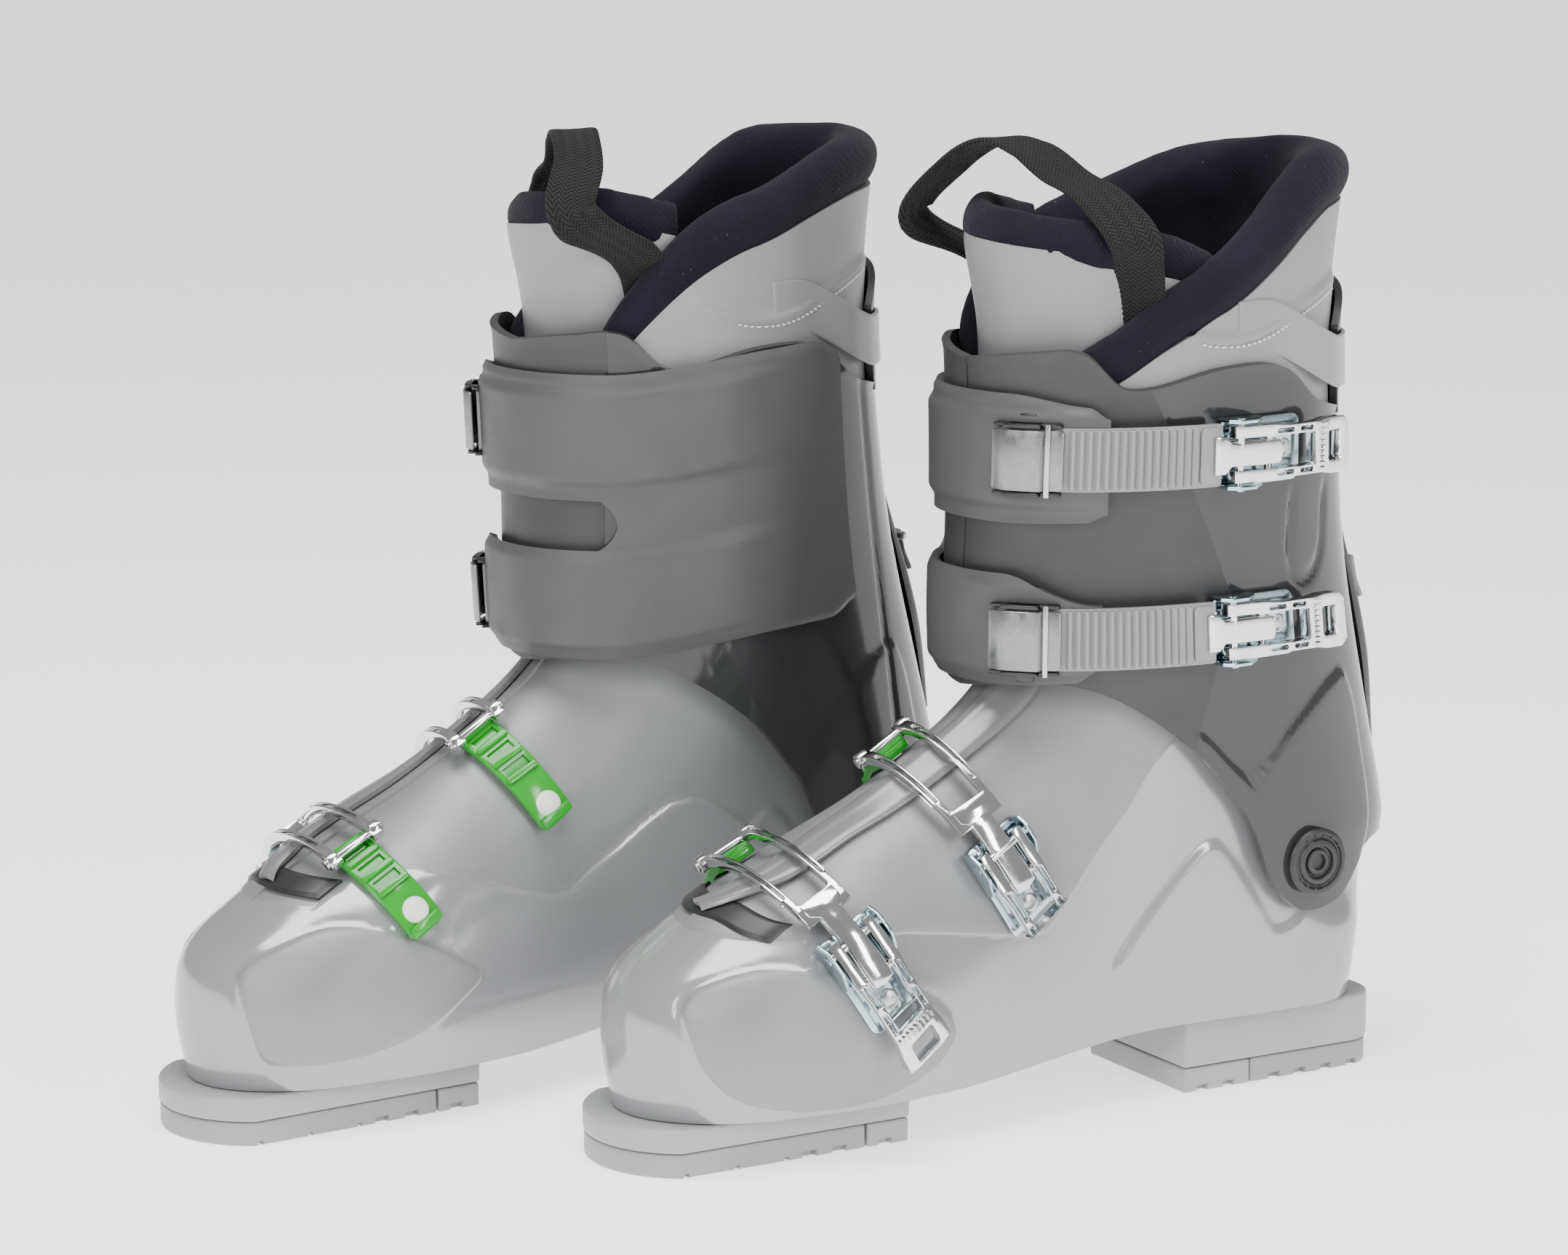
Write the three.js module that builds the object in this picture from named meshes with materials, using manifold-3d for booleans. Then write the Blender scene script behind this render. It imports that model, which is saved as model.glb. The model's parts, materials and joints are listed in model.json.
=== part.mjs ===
// A pair of alpine ski boots: hollow lower shells on ISO-style sole lugs, hinged cuffs, liners, and four
// over-centre buckles on each boot.  Millimetres, +Z up, toes towards -Y.
//
// Each boot is built as a left boot (outer side on +X) in its own frame, with the ankle hinge along X.
// The right boot is the same builder mirrored.
import * as THREE from "three";
import { mergeVertices } from "three/addons/utils/BufferGeometryUtils.js";
import Module from "manifold-3d";

const wasm = await Module();
wasm.setup();

// ---------------------------------------------------------------- driving dimensions
const soleLength = 350; // toe tip to heel end
const soleWidth = 69; // both lugs, ISO adult sole
const toeLugHeight = 19; // binding ledge height at the toe
const heelLugHeight = 30; // binding ledge height at the heel
const forefootWidth = 109; // lower shell at the ball of the foot
const cuffHeight = 300; // floor to the top of the cuff
const shellWall = 4.5;
const cuffWall = 3.6;
const flapWall = 3.6;
const linerWall = 9;
const tongueWall = 7;
const gap = 0.5; // between parts that touch
const slip = 0.4; // radial room of a hinge
const pivotRadius = 8; // ankle rivet barrel in the cuff
const pivotStubRadius = 6; // ankle rivet stub in the lower shell
const pivotHeadRadius = 14.5;
const strapWidth = 25; // cuff ratchet straps
const buckleWidth = 28; // over the cheeks of a buckle base
const leverLength = 58; // hinge to the free end of a buckle lever
const standApart = 132; // right boot to the left of the left boot
const standAhead = 126; // right boot in front of the left boot
const standTurn = 4.5; // degrees that the right boot toes out

// The form's key values are for a 350 mm sole, a 109 mm forefoot and a 300 mm cuff.
const alongFoot = soleLength / 350;
const across = forefootWidth / 109;
const upLeg = cuffHeight / 300;

// ---------------------------------------------------------------- smooth curves through key values
// Pairs of [position, value], joined by cubic pieces and held constant past both ends.
function curve(keys, unit, valueUnit) {
  const x = keys.map((k) => k[0] * unit);
  const y = keys.map((k) => k[1] * valueUnit);
  const last = x.length - 1;
  const slope = x.map((_, i) => {
    const a = Math.max(i - 1, 0);
    const b = Math.min(i + 1, last);
    return (y[b] - y[a]) / (x[b] - x[a]);
  });
  return (at) => {
    const s = Math.min(Math.max(at, x[0]), x[last]);
    let i = 0;
    while (i < last - 1 && s > x[i + 1]) i += 1;
    const h = x[i + 1] - x[i];
    const t = (s - x[i]) / h;
    const u = 1 - t;
    const values = u * u * (1 + 2 * t) * y[i] + t * t * (3 - 2 * t) * y[i + 1];
    return values + u * t * h * (u * slope[i] - t * slope[i + 1]);
  };
}
const smooth = (a, b, at) => THREE.MathUtils.smoothstep(at, a, b);
const mix = THREE.MathUtils.lerp;
const radians = THREE.MathUtils.degToRad;

// ---------------------------------------------------------------- form of the lower shell
const toeLine = curve(
  [[18, -160], [40, -163], [58, -162.5], [68, -159.5], [76, -152.5], [84, -141], [92, -130], [102, -113],
    [114, -90], [128, -61], [144, -34], [158, -13], [172, 2], [190, 12]],
  upLeg, alongFoot);
const heelLine = curve(
  [[18, 173.5], [45, 174.5], [62, 178], [78, 182.5], [94, 184], [110, 184], [130, 180], [150, 175],
    [190, 168]],
  upLeg, alongFoot);
const outerSide = curve(
  [[-172, 36], [-150, 43], [-125, 49], [-95, 54], [-70, 55], [-40, 51], [0, 45], [40, 42], [80, 42],
    [120, 43.5], [160, 42], [190, 40]],
  alongFoot, across);
const innerSide = curve(
  [[-172, 36], [-150, 42], [-125, 47], [-95, 51], [-70, 52], [-40, 48], [0, 42], [40, 40], [80, 41],
    [120, 43.5], [160, 42], [190, 40]],
  alongFoot, across);
const tuckUnder = curve([[18, 0.8], [26, 0.89], [36, 0.96], [50, 1], [190, 1]], upLeg, 1);
const toeRounding = curve(
  [[18, 45], [60, 45], [80, 60], [100, 70], [130, 70], [160, 55], [190, 50]],
  upLeg, alongFoot);
const narrowing = curve([[-172, 0.6], [-60, 0.6], [0, 0.35], [60, 0.05], [100, 0], [190, 0]], alongFoot, 1);
const heelRounding = curve([[18, 38], [60, 40], [84, 92], [190, 92]], upLeg, alongFoot);

// Rises from 0 to 1 over a unit length, as a rounded end does.
function roundedEnd(q, power) {
  const p = Math.min(Math.max(q, 0), 1);
  return (1 - (1 - p) ** power) ** (1 / power);
}

// Half width of the lower shell at a place along the foot and a height; side is 1 outside and -1 inside.
function shellHalfWidth(y, z, side) {
  const plan = (side > 0 ? outerSide(y) : innerSide(y)) * tuckUnder(z);
  const taper = 1 - narrowing(y) * Math.min(Math.max((z / upLeg - 50) / 100, 0), 1.4) ** 1.5;
  const front = roundedEnd((y - toeLine(z)) / toeRounding(z), 2.2);
  const rear = roundedEnd((heelLine(z) - y) / heelRounding(z), 2.25);
  return plan * taper * front * rear;
}

// Point of the shell's outer face; turn runs 0..1 round the outline from the toe by the outer side.
function shellFace(turn, z) {
  const side = turn < 0.5 ? 1 : -1;
  const t = turn < 0.5 ? 2 * turn : 2 - 2 * turn;
  const y = mix(toeLine(z), heelLine(z), (1 - Math.cos(Math.PI * t)) / 2);
  return new THREE.Vector3(side * shellHalfWidth(y, z, side), y, z);
}

// ---------------------------------------------------------------- form of the cuff and the leg
const cuffFront = curve([[70, -4], [170, -8], [200, -9], [240, -8], [300, -9], [345, -14]], upLeg, alongFoot);
const cuffRear = curve(
  [[70, 190], [93, 191], [106, 192], [148, 182], [207, 167], [241, 161], [300, 155], [330, 157], [370, 163]],
  upLeg, alongFoot);
const cuffSide = curve(
  [[70, 49], [94, 50], [120, 50], [150, 51], [200, 54], [250, 57], [310, 60], [380, 57]],
  upLeg, across);
const cuffCant = curve([[94, 0], [150, 0.6], [300, 5], [380, 6]], upLeg, across);
const cuffSquareness = 2.25;

// Point at an angle round the leg (0 in front, a quarter turn on the outer side), inset or proud by d.
function legFace(angle, z, d) {
  const front = cuffFront(z);
  const rear = cuffRear(z);
  const power = 2 / cuffSquareness;
  const s = Math.sin(angle);
  const c = Math.cos(angle);
  return new THREE.Vector3(
    cuffCant(z) + (cuffSide(z) + d) * Math.sign(s) * Math.abs(s) ** power,
    (front + rear) / 2 - ((rear - front) / 2 + d) * Math.sign(c) * Math.abs(c) ** power,
    z);
}

// ---------------------------------------------------------------- solids
// Welds a list of triangles into a solid, turned so that its faces point out.
function solidOf(positions, indices) {
  const geometry = new THREE.BufferGeometry();
  geometry.setAttribute("position", new THREE.Float32BufferAttribute(positions, 3));
  geometry.setIndex(indices);
  return solidFrom(geometry);
}

function solidFrom(geometry) {
  geometry.deleteAttribute("normal");
  geometry.deleteAttribute("uv");
  const welded = mergeVertices(geometry, 1e-4);
  const triVerts = new Uint32Array(welded.index.array);
  const vertProperties = welded.attributes.position.array;
  const solid = new wasm.Manifold(new wasm.Mesh({ numProp: 3, vertProperties, triVerts }));
  if (solid.volume() > 0) return solid;
  for (let i = 0; i < triVerts.length; i += 3) {
    [triVerts[i + 1], triVerts[i + 2]] = [triVerts[i + 2], triVerts[i + 1]];
  }
  return new wasm.Manifold(new wasm.Mesh({ numProp: 3, vertProperties, triVerts }));
}

// Skin over rings of equally many points, an even number.  A looped run closes on itself; the ends of an open
// one are capped by strips from each point i to its opposite, n - i.
function ringSolid(rings, looped) {
  const n = rings[0].length;
  const positions = rings.flat().flatMap((p) => [p.x, p.y, p.z]);
  const indices = [];
  const steps = looped ? rings.length : rings.length - 1;
  for (let j = 0; j < steps; j += 1) {
    const a = j * n;
    const b = ((j + 1) % rings.length) * n;
    for (let i = 0; i < n; i += 1) {
      const k = (i + 1) % n;
      indices.push(a + i, a + k, b + k, a + i, b + k, b + i);
    }
  }
  if (!looped) {
    for (const from of [0, (rings.length - 1) * n]) {
      const face = (...corners) => indices.push(...(from ? corners : corners.reverse()).map((c) => from + c));
      for (let i = 0; i < n / 2; i += 1) {
        if (i > 0) face(i, i + 1, n - i);
        if (i < n / 2 - 1) face(i + 1, n - i - 1, (n - i) % n);
      }
    }
  }
  return solidOf(positions, indices);
}

// Sheet with thickness: place(i, j, face) gives the outer (1) and inner (0) points of a grid, and the cells
// that keep(i, j) refuses are left out.
function sheetSolid(columns, rows, place, keep = () => true) {
  const positions = [];
  for (const face of [1, 0]) {
    for (let i = 0; i <= columns; i += 1) {
      for (let j = 0; j <= rows; j += 1) {
        const p = place(i, j, face);
        positions.push(p.x, p.y, p.z);
      }
    }
  }
  const id = (i, j, face) => (face ? 0 : (columns + 1) * (rows + 1)) + i * (rows + 1) + j;
  const there = (i, j) => i >= 0 && j >= 0 && i < columns && j < rows && keep(i, j);
  const indices = [];
  const quad = (a, b, c, d) => indices.push(a, b, c, a, c, d);
  for (let i = 0; i < columns; i += 1) {
    for (let j = 0; j < rows; j += 1) {
      if (!there(i, j)) continue;
      quad(id(i, j, 1), id(i + 1, j, 1), id(i + 1, j + 1, 1), id(i, j + 1, 1));
      quad(id(i, j + 1, 0), id(i + 1, j + 1, 0), id(i + 1, j, 0), id(i, j, 0));
      const walls = [[i, j, i + 1, j, 0, -1], [i + 1, j, i + 1, j + 1, 1, 0], [i + 1, j + 1, i, j + 1, 0, 1],
        [i, j + 1, i, j, -1, 0]];
      for (const [ai, aj, bi, bj, di, dj] of walls) {
        if (!there(i + di, j + dj)) quad(id(bi, bj, 1), id(ai, aj, 1), id(ai, aj, 0), id(bi, bj, 0));
      }
    }
  }
  return solidOf(positions, indices);
}

const join = (solids) => solids.reduce((sum, s) => sum.add(s));

// Round bar between two points.
function bar(from, to, radius, sides = 6) {
  const along = to.clone().sub(from);
  const geometry = new THREE.CylinderGeometry(radius, radius, along.length(), sides);
  const turn = new THREE.Quaternion().setFromUnitVectors(new THREE.Vector3(0, 1, 0), along.normalize());
  geometry.applyQuaternion(turn);
  const middle = from.clone().add(to).multiplyScalar(0.5);
  geometry.translate(middle.x, middle.y, middle.z);
  return solidFrom(geometry);
}

// ---------------------------------------------------------------- bands: places along a strap's run
// A band gives at(s, v, h): s mm round from its front line towards the outer side, v across, h proud.
function bandFrom(point, first, last) {
  const steps = 120;
  const marks = [];
  let run = 0;
  let before = null;
  for (let i = 0; i <= steps; i += 1) {
    const angle = mix(first, last, i / steps);
    const here = point(angle, 0, 0);
    if (before) run += here.distanceTo(before);
    marks.push([angle, run]);
    before = here;
  }
  const zero = marks.reduce((best, mark) => (mark[0] <= 0 ? mark[1] : best), 0);
  const angleAt = (s) => {
    let i = 0;
    while (i < steps - 1 && marks[i + 1][1] < s + zero) i += 1;
    return mix(marks[i][0], marks[i + 1][0], (s + zero - marks[i][1]) / (marks[i + 1][1] - marks[i][1]));
  };
  return { at: (s, v, h) => point(angleAt(s), v, h) };
}

// Band over the instep, in a plane square to the ridge, that crosses the ridge at a height.
function instepBand(ridgeHeight) {
  const lean = radians(31);
  const down = new THREE.Vector3(0, Math.sin(lean), -Math.cos(lean));
  const sideways = new THREE.Vector3(0, Math.cos(lean), Math.sin(lean));
  const centre = new THREE.Vector3(0, toeLine(ridgeHeight), ridgeHeight).addScaledVector(down, 45 * upLeg);
  const reach = (angle, v) => {
    const from = centre.clone().addScaledVector(sideways, v);
    const dir = new THREE.Vector3(Math.sin(angle), 0, 0).addScaledVector(down, -Math.cos(angle));
    let near = 0;
    let far = 120;
    for (let i = 0; i < 26; i += 1) {
      const r = (near + far) / 2;
      const p = from.clone().addScaledVector(dir, r);
      const half = shellHalfWidth(p.y, p.z, Math.sign(p.x) || 1);
      const inside = p.y > toeLine(p.z) && Math.abs(p.x) < half;
      if (inside) near = r;
      else far = r;
    }
    return from.addScaledVector(dir, near);
  };
  const point = (angle, v, h) => {
    const step = 0.03;
    const p = reach(angle, v);
    const tangent = reach(angle + step, v).sub(reach(angle - step, v));
    const out = new THREE.Vector3().crossVectors(tangent, sideways).normalize();
    return p.addScaledVector(out, h);
  };
  return bandFrom(point, radians(-95), radians(118));
}

// Level band round the cuff at a height.
const cuffBand = (height) =>
  bandFrom((angle, v, h) => legFace(angle, height + v, h), radians(-60), radians(175));

// Plate that follows a band, in flat lengths of at most slabStep.
const slabStep = 10;
function slab(band, [s0, s1], [v0, v1], [h0, h1]) {
  const steps = Math.max(1, Math.ceil((s1 - s0) / slabStep));
  const rings = [];
  for (let i = 0; i <= steps; i += 1) {
    const s = mix(s0, s1, i / steps);
    rings.push([band.at(s, v0, h0), band.at(s, v1, h0), band.at(s, v1, h1), band.at(s, v0, h1)]);
  }
  return ringSolid(rings, false);
}
const crossBar = (band, s, h, half, radius) => bar(band.at(s, -half, h), band.at(s, half, h), radius);

// ---------------------------------------------------------------- finishes
const finish = (color, roughness, metalness = 0) => () =>
  new THREE.MeshStandardMaterial({ color, roughness, metalness });
const shellGrey = finish(0x9a9c9f, 0.35);
const soleGrey = finish(0x85888b, 0.55);
const cuffGrey = finish(0x4a4a4c, 0.3);
const matteGrey = finish(0x505052, 0.6);
const blackPlastic = finish(0x2c2c2e, 0.6);
const strapGrey = finish(0x8f8f91, 0.45);
const linerCloth = finish(0x8c8e91, 0.8);
const webbing = finish(0x161616, 0.85);
const polished = finish(0xd8d8d8, 0.2, 1);
const zincPlate = finish(0xb4c6cc, 0.3, 1);
const greenPlastic = finish(0x3db83f, 0.3);
const rivetSteel = finish(0x4c4c4e, 0.5, 0.4);

// ---------------------------------------------------------------- shell, soles and ankle rivets
const pivotY = 130 * alongFoot;
const pivotZ = 94 * upLeg;
const shellSteps = 28;

// Underside of the lower shell: on the toe lug, and rising through the arch on to the heel lug.
const shellUnderside = (y) =>
  mix(toeLugHeight, heelLugHeight, smooth(-40 * alongFoot, 68 * alongFoot, y)) + gap;

// Height of the lower shell's rim, under the cuff.
const shellRim = (turn) => mix(182, 150, smooth(0.1, 0.4, Math.min(turn, 1 - turn))) * upLeg;

// Ring of the shell's form, a share of the way up from a height over the underside, and inwards by a depth.
function shellRing(rimHeight, lift, share, depth) {
  const ring = [];
  for (let i = 0; i < shellSteps; i += 1) {
    const turn = i / shellSteps;
    const floor = shellUnderside(shellFace(turn, toeLugHeight).y) + lift;
    const z = mix(floor, rimHeight(turn), share);
    const du = 0.004;
    const across1 = shellFace((turn + du) % 1, z).sub(shellFace((turn + 1 - du) % 1, z));
    const upwards = shellFace(turn, z + 1).sub(shellFace(turn, z - 1));
    const inwards = new THREE.Vector3().crossVectors(upwards, across1).normalize();
    const p = shellFace(turn, z).addScaledVector(inwards, depth);
    p.z = Math.max(p.z, floor);
    ring.push(p);
  }
  return ring;
}

// Heights of the rings as shares of the rise; closer together over the toe.
const shellShares = [0, 0.14, 0.3, 0.4, 0.51, 0.64, 0.8, 1];

// Cup that follows the lower shell's form between two depths, open at the top.
function footCup(outerDepth, thickness, rimHeight) {
  const outer = shellShares.map((share) => shellRing(rimHeight, outerDepth, share, outerDepth));
  const depth = outerDepth + thickness;
  const inner = shellShares.map((share) => shellRing(rimHeight, depth, share, depth));
  return ringSolid([...outer, ...inner.reverse()], false);
}

// Bar through the ankle on one side; side is 1 outside and -1 inside.
function ankleBar(side, from, to, radius, sides = 12) {
  const at = (x) => new THREE.Vector3(side * x, pivotY, pivotZ);
  return bar(at(from), at(to), radius, sides);
}
const shellSideAtPivot = shellHalfWidth(pivotY, pivotZ, 1);
const cuffSideAtPivot = cuffSide(pivotZ);

function lowerShell() {
  let shell = footCup(0, shellWall, shellRim);
  for (const side of [1, -1]) {
    const hole = ankleBar(side, shellSideAtPivot - 15, shellSideAtPivot + 15, pivotStubRadius + slip);
    shell = shell.subtract(hole);
  }
  return shell;
}

const toeTip = -172 * alongFoot;
const heelEnd = toeTip + soleLength;
const toeLugEnd = toeTip + 121 * alongFoot;
const heelFront = heelEnd - 99 * alongFoot;

// Extruded lug; a rounded one has the binding's arc at its free end.
function lug(yFrom, yTo, half, z0, z1, rounded) {
  const shape = new THREE.Shape();
  if (rounded === "toe") {
    const reach = 40;
    const start = Math.asin(half / reach);
    shape.moveTo(half, yTo);
    shape.lineTo(-half, yTo);
    shape.absarc(0, yFrom + reach, reach, -Math.PI / 2 - start, -Math.PI / 2 + start, false);
  } else {
    const corner = rounded ? 16 : 1;
    shape.moveTo(-half, yFrom);
    shape.lineTo(half, yFrom);
    shape.absarc(half - corner, yTo - corner, corner, 0, Math.PI / 2, false);
    shape.absarc(-half + corner, yTo - corner, corner, Math.PI / 2, Math.PI, false);
  }
  const settings = { depth: z1 - z0, bevelEnabled: false, curveSegments: 7 };
  const geometry = new THREE.ExtrudeGeometry(shape, settings);
  geometry.translate(0, 0, z0);
  return solidFrom(geometry);
}
const toeSole = () => lug(toeTip, toeLugEnd, soleWidth / 2, 0, toeLugHeight, "toe");
const heelSole = () => lug(heelFront, heelEnd, soleWidth / 2, 0, heelLugHeight, "heel");

// Ankle rivet: a head on the cuff, a barrel the cuff turns on, and a stub held in the shell's wall.
function anklePivot(side) {
  const face = cuffSideAtPivot + gap;
  const barrelFrom = shellSideAtPivot + 3 * gap;
  return join([
    ankleBar(side, shellSideAtPivot - shellWall, barrelFrom + 1, pivotStubRadius),
    ankleBar(side, barrelFrom, face + 1, pivotRadius),
    ankleBar(side, face, face + 3, pivotHeadRadius),
  ]);
}

// ---------------------------------------------------------------- cuff, flap and spine
const ringSteps = 32;
const cuffLowEdge = curve(
  [[0, 172], [35, 176], [55, 172], [72, 158], [84, 140], [91, 118], [96, 92], [104, 76], [112, 73], [122, 77],
    [132, 91], [142, 96], [180, 94]],
  1, upLeg);
const cuffTopEdge = curve(
  [[0, 302], [30, 306], [48, 306], [62, 292], [92, 299], [108, 297], [125, 282], [180, 272]],
  1, upLeg);
const degreesFromFront = (angle) =>
  Math.abs(THREE.MathUtils.radToDeg(Math.atan2(Math.sin(angle), Math.cos(angle))));

function cuffShell() {
  const rows = 4;
  const rings = [];
  for (const [face, depth] of [[1, 0], [0, -cuffWall]]) {
    for (let j = 0; j <= rows; j += 1) {
      const share = face ? j / rows : 1 - j / rows;
      const ring = [];
      for (let i = 0; i < ringSteps; i += 1) {
        const angle = (2 * Math.PI * i) / ringSteps;
        const turn = degreesFromFront(angle);
        ring.push(legFace(angle, mix(cuffLowEdge(turn), cuffTopEdge(turn), share), depth));
      }
      rings.push(ring);
    }
  }
  let shell = ringSolid(rings, true);
  for (const side of [1, -1]) {
    shell = shell.subtract(ankleBar(side, cuffSideAtPivot - 15, cuffSideAtPivot + 15, pivotRadius + slip));
  }
  return shell;
}

// Outer flap: a panel on the inner side with two fingers that wrap round the front.
const ringStep = 360 / ringSteps;
const flapRoom = 1; // between the cuff and the flap on it
const flapFace = flapRoom + flapWall;
const flapRear = -10 * ringStep;
const flapSlotEnd = -4 * ringStep;
const fingerTip = 5 * ringStep;
const flapFingers = { lowerFrom: 176, lowerTo: 220, upperFrom: 240, upperTo: 289 };
function cuffFlap() {
  const columns = Math.round((fingerTip - flapRear) / ringStep);
  const turnOf = (i) => flapRear + i * ringStep;
  const f = flapFingers;
  const heights = [f.lowerFrom, f.lowerTo, f.upperFrom, f.upperTo];
  const place = (i, j, face) => {
    const rise = 10 * smooth(40, -flapRear, -turnOf(i));
    return legFace(radians(turnOf(i)), (heights[j] + rise) * upLeg, face ? flapFace : flapRoom);
  };
  return sheetSolid(columns, 3, place, (i, j) => j !== 1 || turnOf(i) < flapSlotEnd);
}

const spineFrom = 132;
const spineTo = 224;
const spineColumns = 2;
function spinePlate() {
  const place = (i, j, face) => {
    const bulge = face ? 3 + 5 * Math.sin((Math.PI * (j + 0.5)) / 5) : 0;
    const turn = 180 + ringStep * (i - spineColumns / 2);
    return legFace(radians(turn), mix(spineFrom, spineTo, j / 4) * upLeg, flapRoom + bulge);
  };
  return sheetSolid(spineColumns, 4, place);
}

const walkAxis = { z: 206, proud: 11.5 };
function walkLever() {
  const place = (i, j, face) => {
    const proud = walkAxis.proud - 1.4 + (face ? 3.4 + 0.6 * (2 - j) : 0);
    return legFace(radians(176 + 4 * i), (walkAxis.z - 14 + 9 * j) * upLeg, proud);
  };
  return sheetSolid(2, 2, place);
}

// Rear spoiler, in line with the cuff's wall above its rear edge.
function spoiler() {
  const place = (i, j, face) => {
    const angle = radians(180 + ringStep * (i - 3));
    const low = cuffTopEdge(degreesFromFront(angle)) + gap + 1;
    return legFace(angle, mix(low, (326 - Math.abs(i - 3) * 4) * upLeg, j / 2), face ? -0.2 : -3.2);
  };
  return sheetSolid(6, 2, place);
}

// ---------------------------------------------------------------- liner, tongue and pull loop
const linerJoint = 186 * upLeg; // where the foot part of the liner ends and the leg part begins
const linerInset = cuffWall + 1.2;
const legLinerFloor = linerJoint + 11;
const footLinerRim = () => linerJoint - 8;
// Between the lower shell and the liner in it; a lower boot is flatter over the toes and needs more.
const footRoom = 2 / Math.min(1, upLeg) ** 2;
const linerFoot = () => footCup(shellWall + footRoom, linerWall, footLinerRim);

// Top edge of the liner: low in front, where the tongue fills it, and highest behind.
function linerRim(turn) {
  const collar = mix(306, 384, smooth(45, 165, turn));
  return mix(214, collar, smooth(26, 46, turn)) * upLeg;
}

function linerLeg() {
  const rows = 4;
  const rings = [];
  for (const [face, depth] of [[1, -linerInset], [0, -linerInset - linerWall]]) {
    for (let j = 0; j <= rows; j += 1) {
      const share = face ? j / rows : 1 - j / rows;
      const ring = [];
      for (let i = 0; i < ringSteps; i += 1) {
        const angle = (2 * Math.PI * i) / ringSteps;
        ring.push(legFace(angle, mix(legLinerFloor, linerRim(degreesFromFront(angle)), share), depth));
      }
      rings.push(ring);
    }
  }
  return ringSolid(rings, true);
}

const tongueTop = 352;
const tongueHalf = 6 * ringStep; // degrees
const tongueFace = -linerInset - linerWall - footRoom; // inset of its outer face from the cuff's
function tongue() {
  const columns = (2 * tongueHalf) / ringStep;
  const place = (i, j, face) => {
    const turn = -tongueHalf + ringStep * i;
    const crown = tongueTop - 26 * (turn / tongueHalf) ** 2;
    return legFace(radians(turn), mix(222, crown, j / 3) * upLeg, tongueFace - (face ? 0 : tongueWall));
  };
  return sheetSolid(columns, 3, place);
}

// Webbing loop that arches over the tongue, both ends held against its front face.
const loopWidth = 20;
const loopThickness = 2.4;
const loopEndTurn = 38; // degrees from the front
function pullLoop() {
  const onTongue = (turn, z) => legFace(radians(turn), z * upLeg, tongueFace + 2 * gap + loopThickness);
  const free = (x, y, z) => new THREE.Vector3(x * across, y * alongFoot, z * upLeg);
  const path = new THREE.CatmullRomCurve3([
    onTongue(-loopEndTurn, 314), onTongue(-loopEndTurn, 328).add(free(0, -3, 0)), free(-28, -8, 355),
    free(-15, 2, 377), free(0, 5, 385), free(15, 2, 381), free(27, -4, 364),
    onTongue(loopEndTurn, 334).add(free(0, -3, 0)), onTongue(loopEndTurn, 314),
  ]);
  const steps = 12;
  const rings = [];
  for (let i = 0; i <= steps; i += 1) {
    const twist = radians(mix(-52, 52, i / steps)); // flat against the tongue at both ends
    const wide = new THREE.Vector3(Math.sin(twist), Math.cos(twist), 0);
    const p = path.getPointAt(i / steps);
    const tangent = path.getTangentAt(i / steps);
    const side = wide.clone().addScaledVector(tangent, -tangent.dot(wide)).normalize();
    const up = new THREE.Vector3().crossVectors(tangent, side);
    const corner = (a, b) =>
      p.clone().addScaledVector(side, (a * loopWidth) / 2).addScaledVector(up, (b * loopThickness) / 2);
    rings.push([corner(-1, -1), corner(1, -1), corner(1, 1), corner(-1, 1)]);
  }
  return ringSolid(rings, false);
}

// ---------------------------------------------------------------- buckles
// Heights above the surface under a buckle.
const hingeProud = 8.5; // lever hinge
const linkProud = 6.6; // pin that joins the pull to the lever
const linkReach = 14; // lever hinge to that pin
const cheekThick = 1.6;
const railWide = 4;
const sideRoom = 1.2; // beside each rail, between the cheeks and beside the link
const linkHalf = buckleWidth / 2 - cheekThick - railWide - 2 * sideRoom;
const pinRadius = 1.8;

// Bar on the line of the link pin, which runs parallel to the lever hinge at s.
function linkPin(band, s, half, radius) {
  const along = band.at(s, half, hingeProud).sub(band.at(s, -half, hingeProud)).setLength(half);
  const centre = band.at(s + linkReach, 0, linkProud);
  return bar(centre.clone().sub(along), centre.clone().add(along), radius);
}

const seat = 1.5; // under a base or a ladder, which is flat between its corners
function buckleBase(band, s) {
  const half = buckleWidth / 2;
  const cheeks = [1, -1].map((side) => {
    const v = [side * half, side * (half - cheekThick)].sort((a, b) => a - b);
    return slab(band, [s - 6, s + 12], v, [seat, hingeProud + 3]);
  });
  return join([slab(band, [s - 6, s + 34], [-half, half], [seat, seat + 1.5]), ...cheeks]);
}

function buckleLever(band, s, length) {
  const outer = buckleWidth / 2 - cheekThick - sideRoom;
  const heights = [hingeProud - 3, hingeProud + 2.5];
  const rails = [1, -1].map((side) => {
    const v = [side * outer, side * (outer - railWide)].sort((a, b) => a - b);
    return slab(band, [s - 3, s + length], v, heights);
  });
  const end = slab(band, [s + length - 6, s + length], [-outer, outer], heights);
  return join([...rails, end, linkPin(band, s, outer - 1, pinRadius)]);
}

// Link from the lever pin up to a place s1 nearer the front line.
function pullLink(band, s, s1) {
  const eye = linkPin(band, s, linkHalf + 5, pinRadius + slip);
  const heights = [linkProud - 2.2 - slip, linkProud + 2.2 + slip];
  return slab(band, [s1, s + linkReach + 4.5], [-linkHalf, linkHalf], heights).subtract(eye);
}

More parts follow.
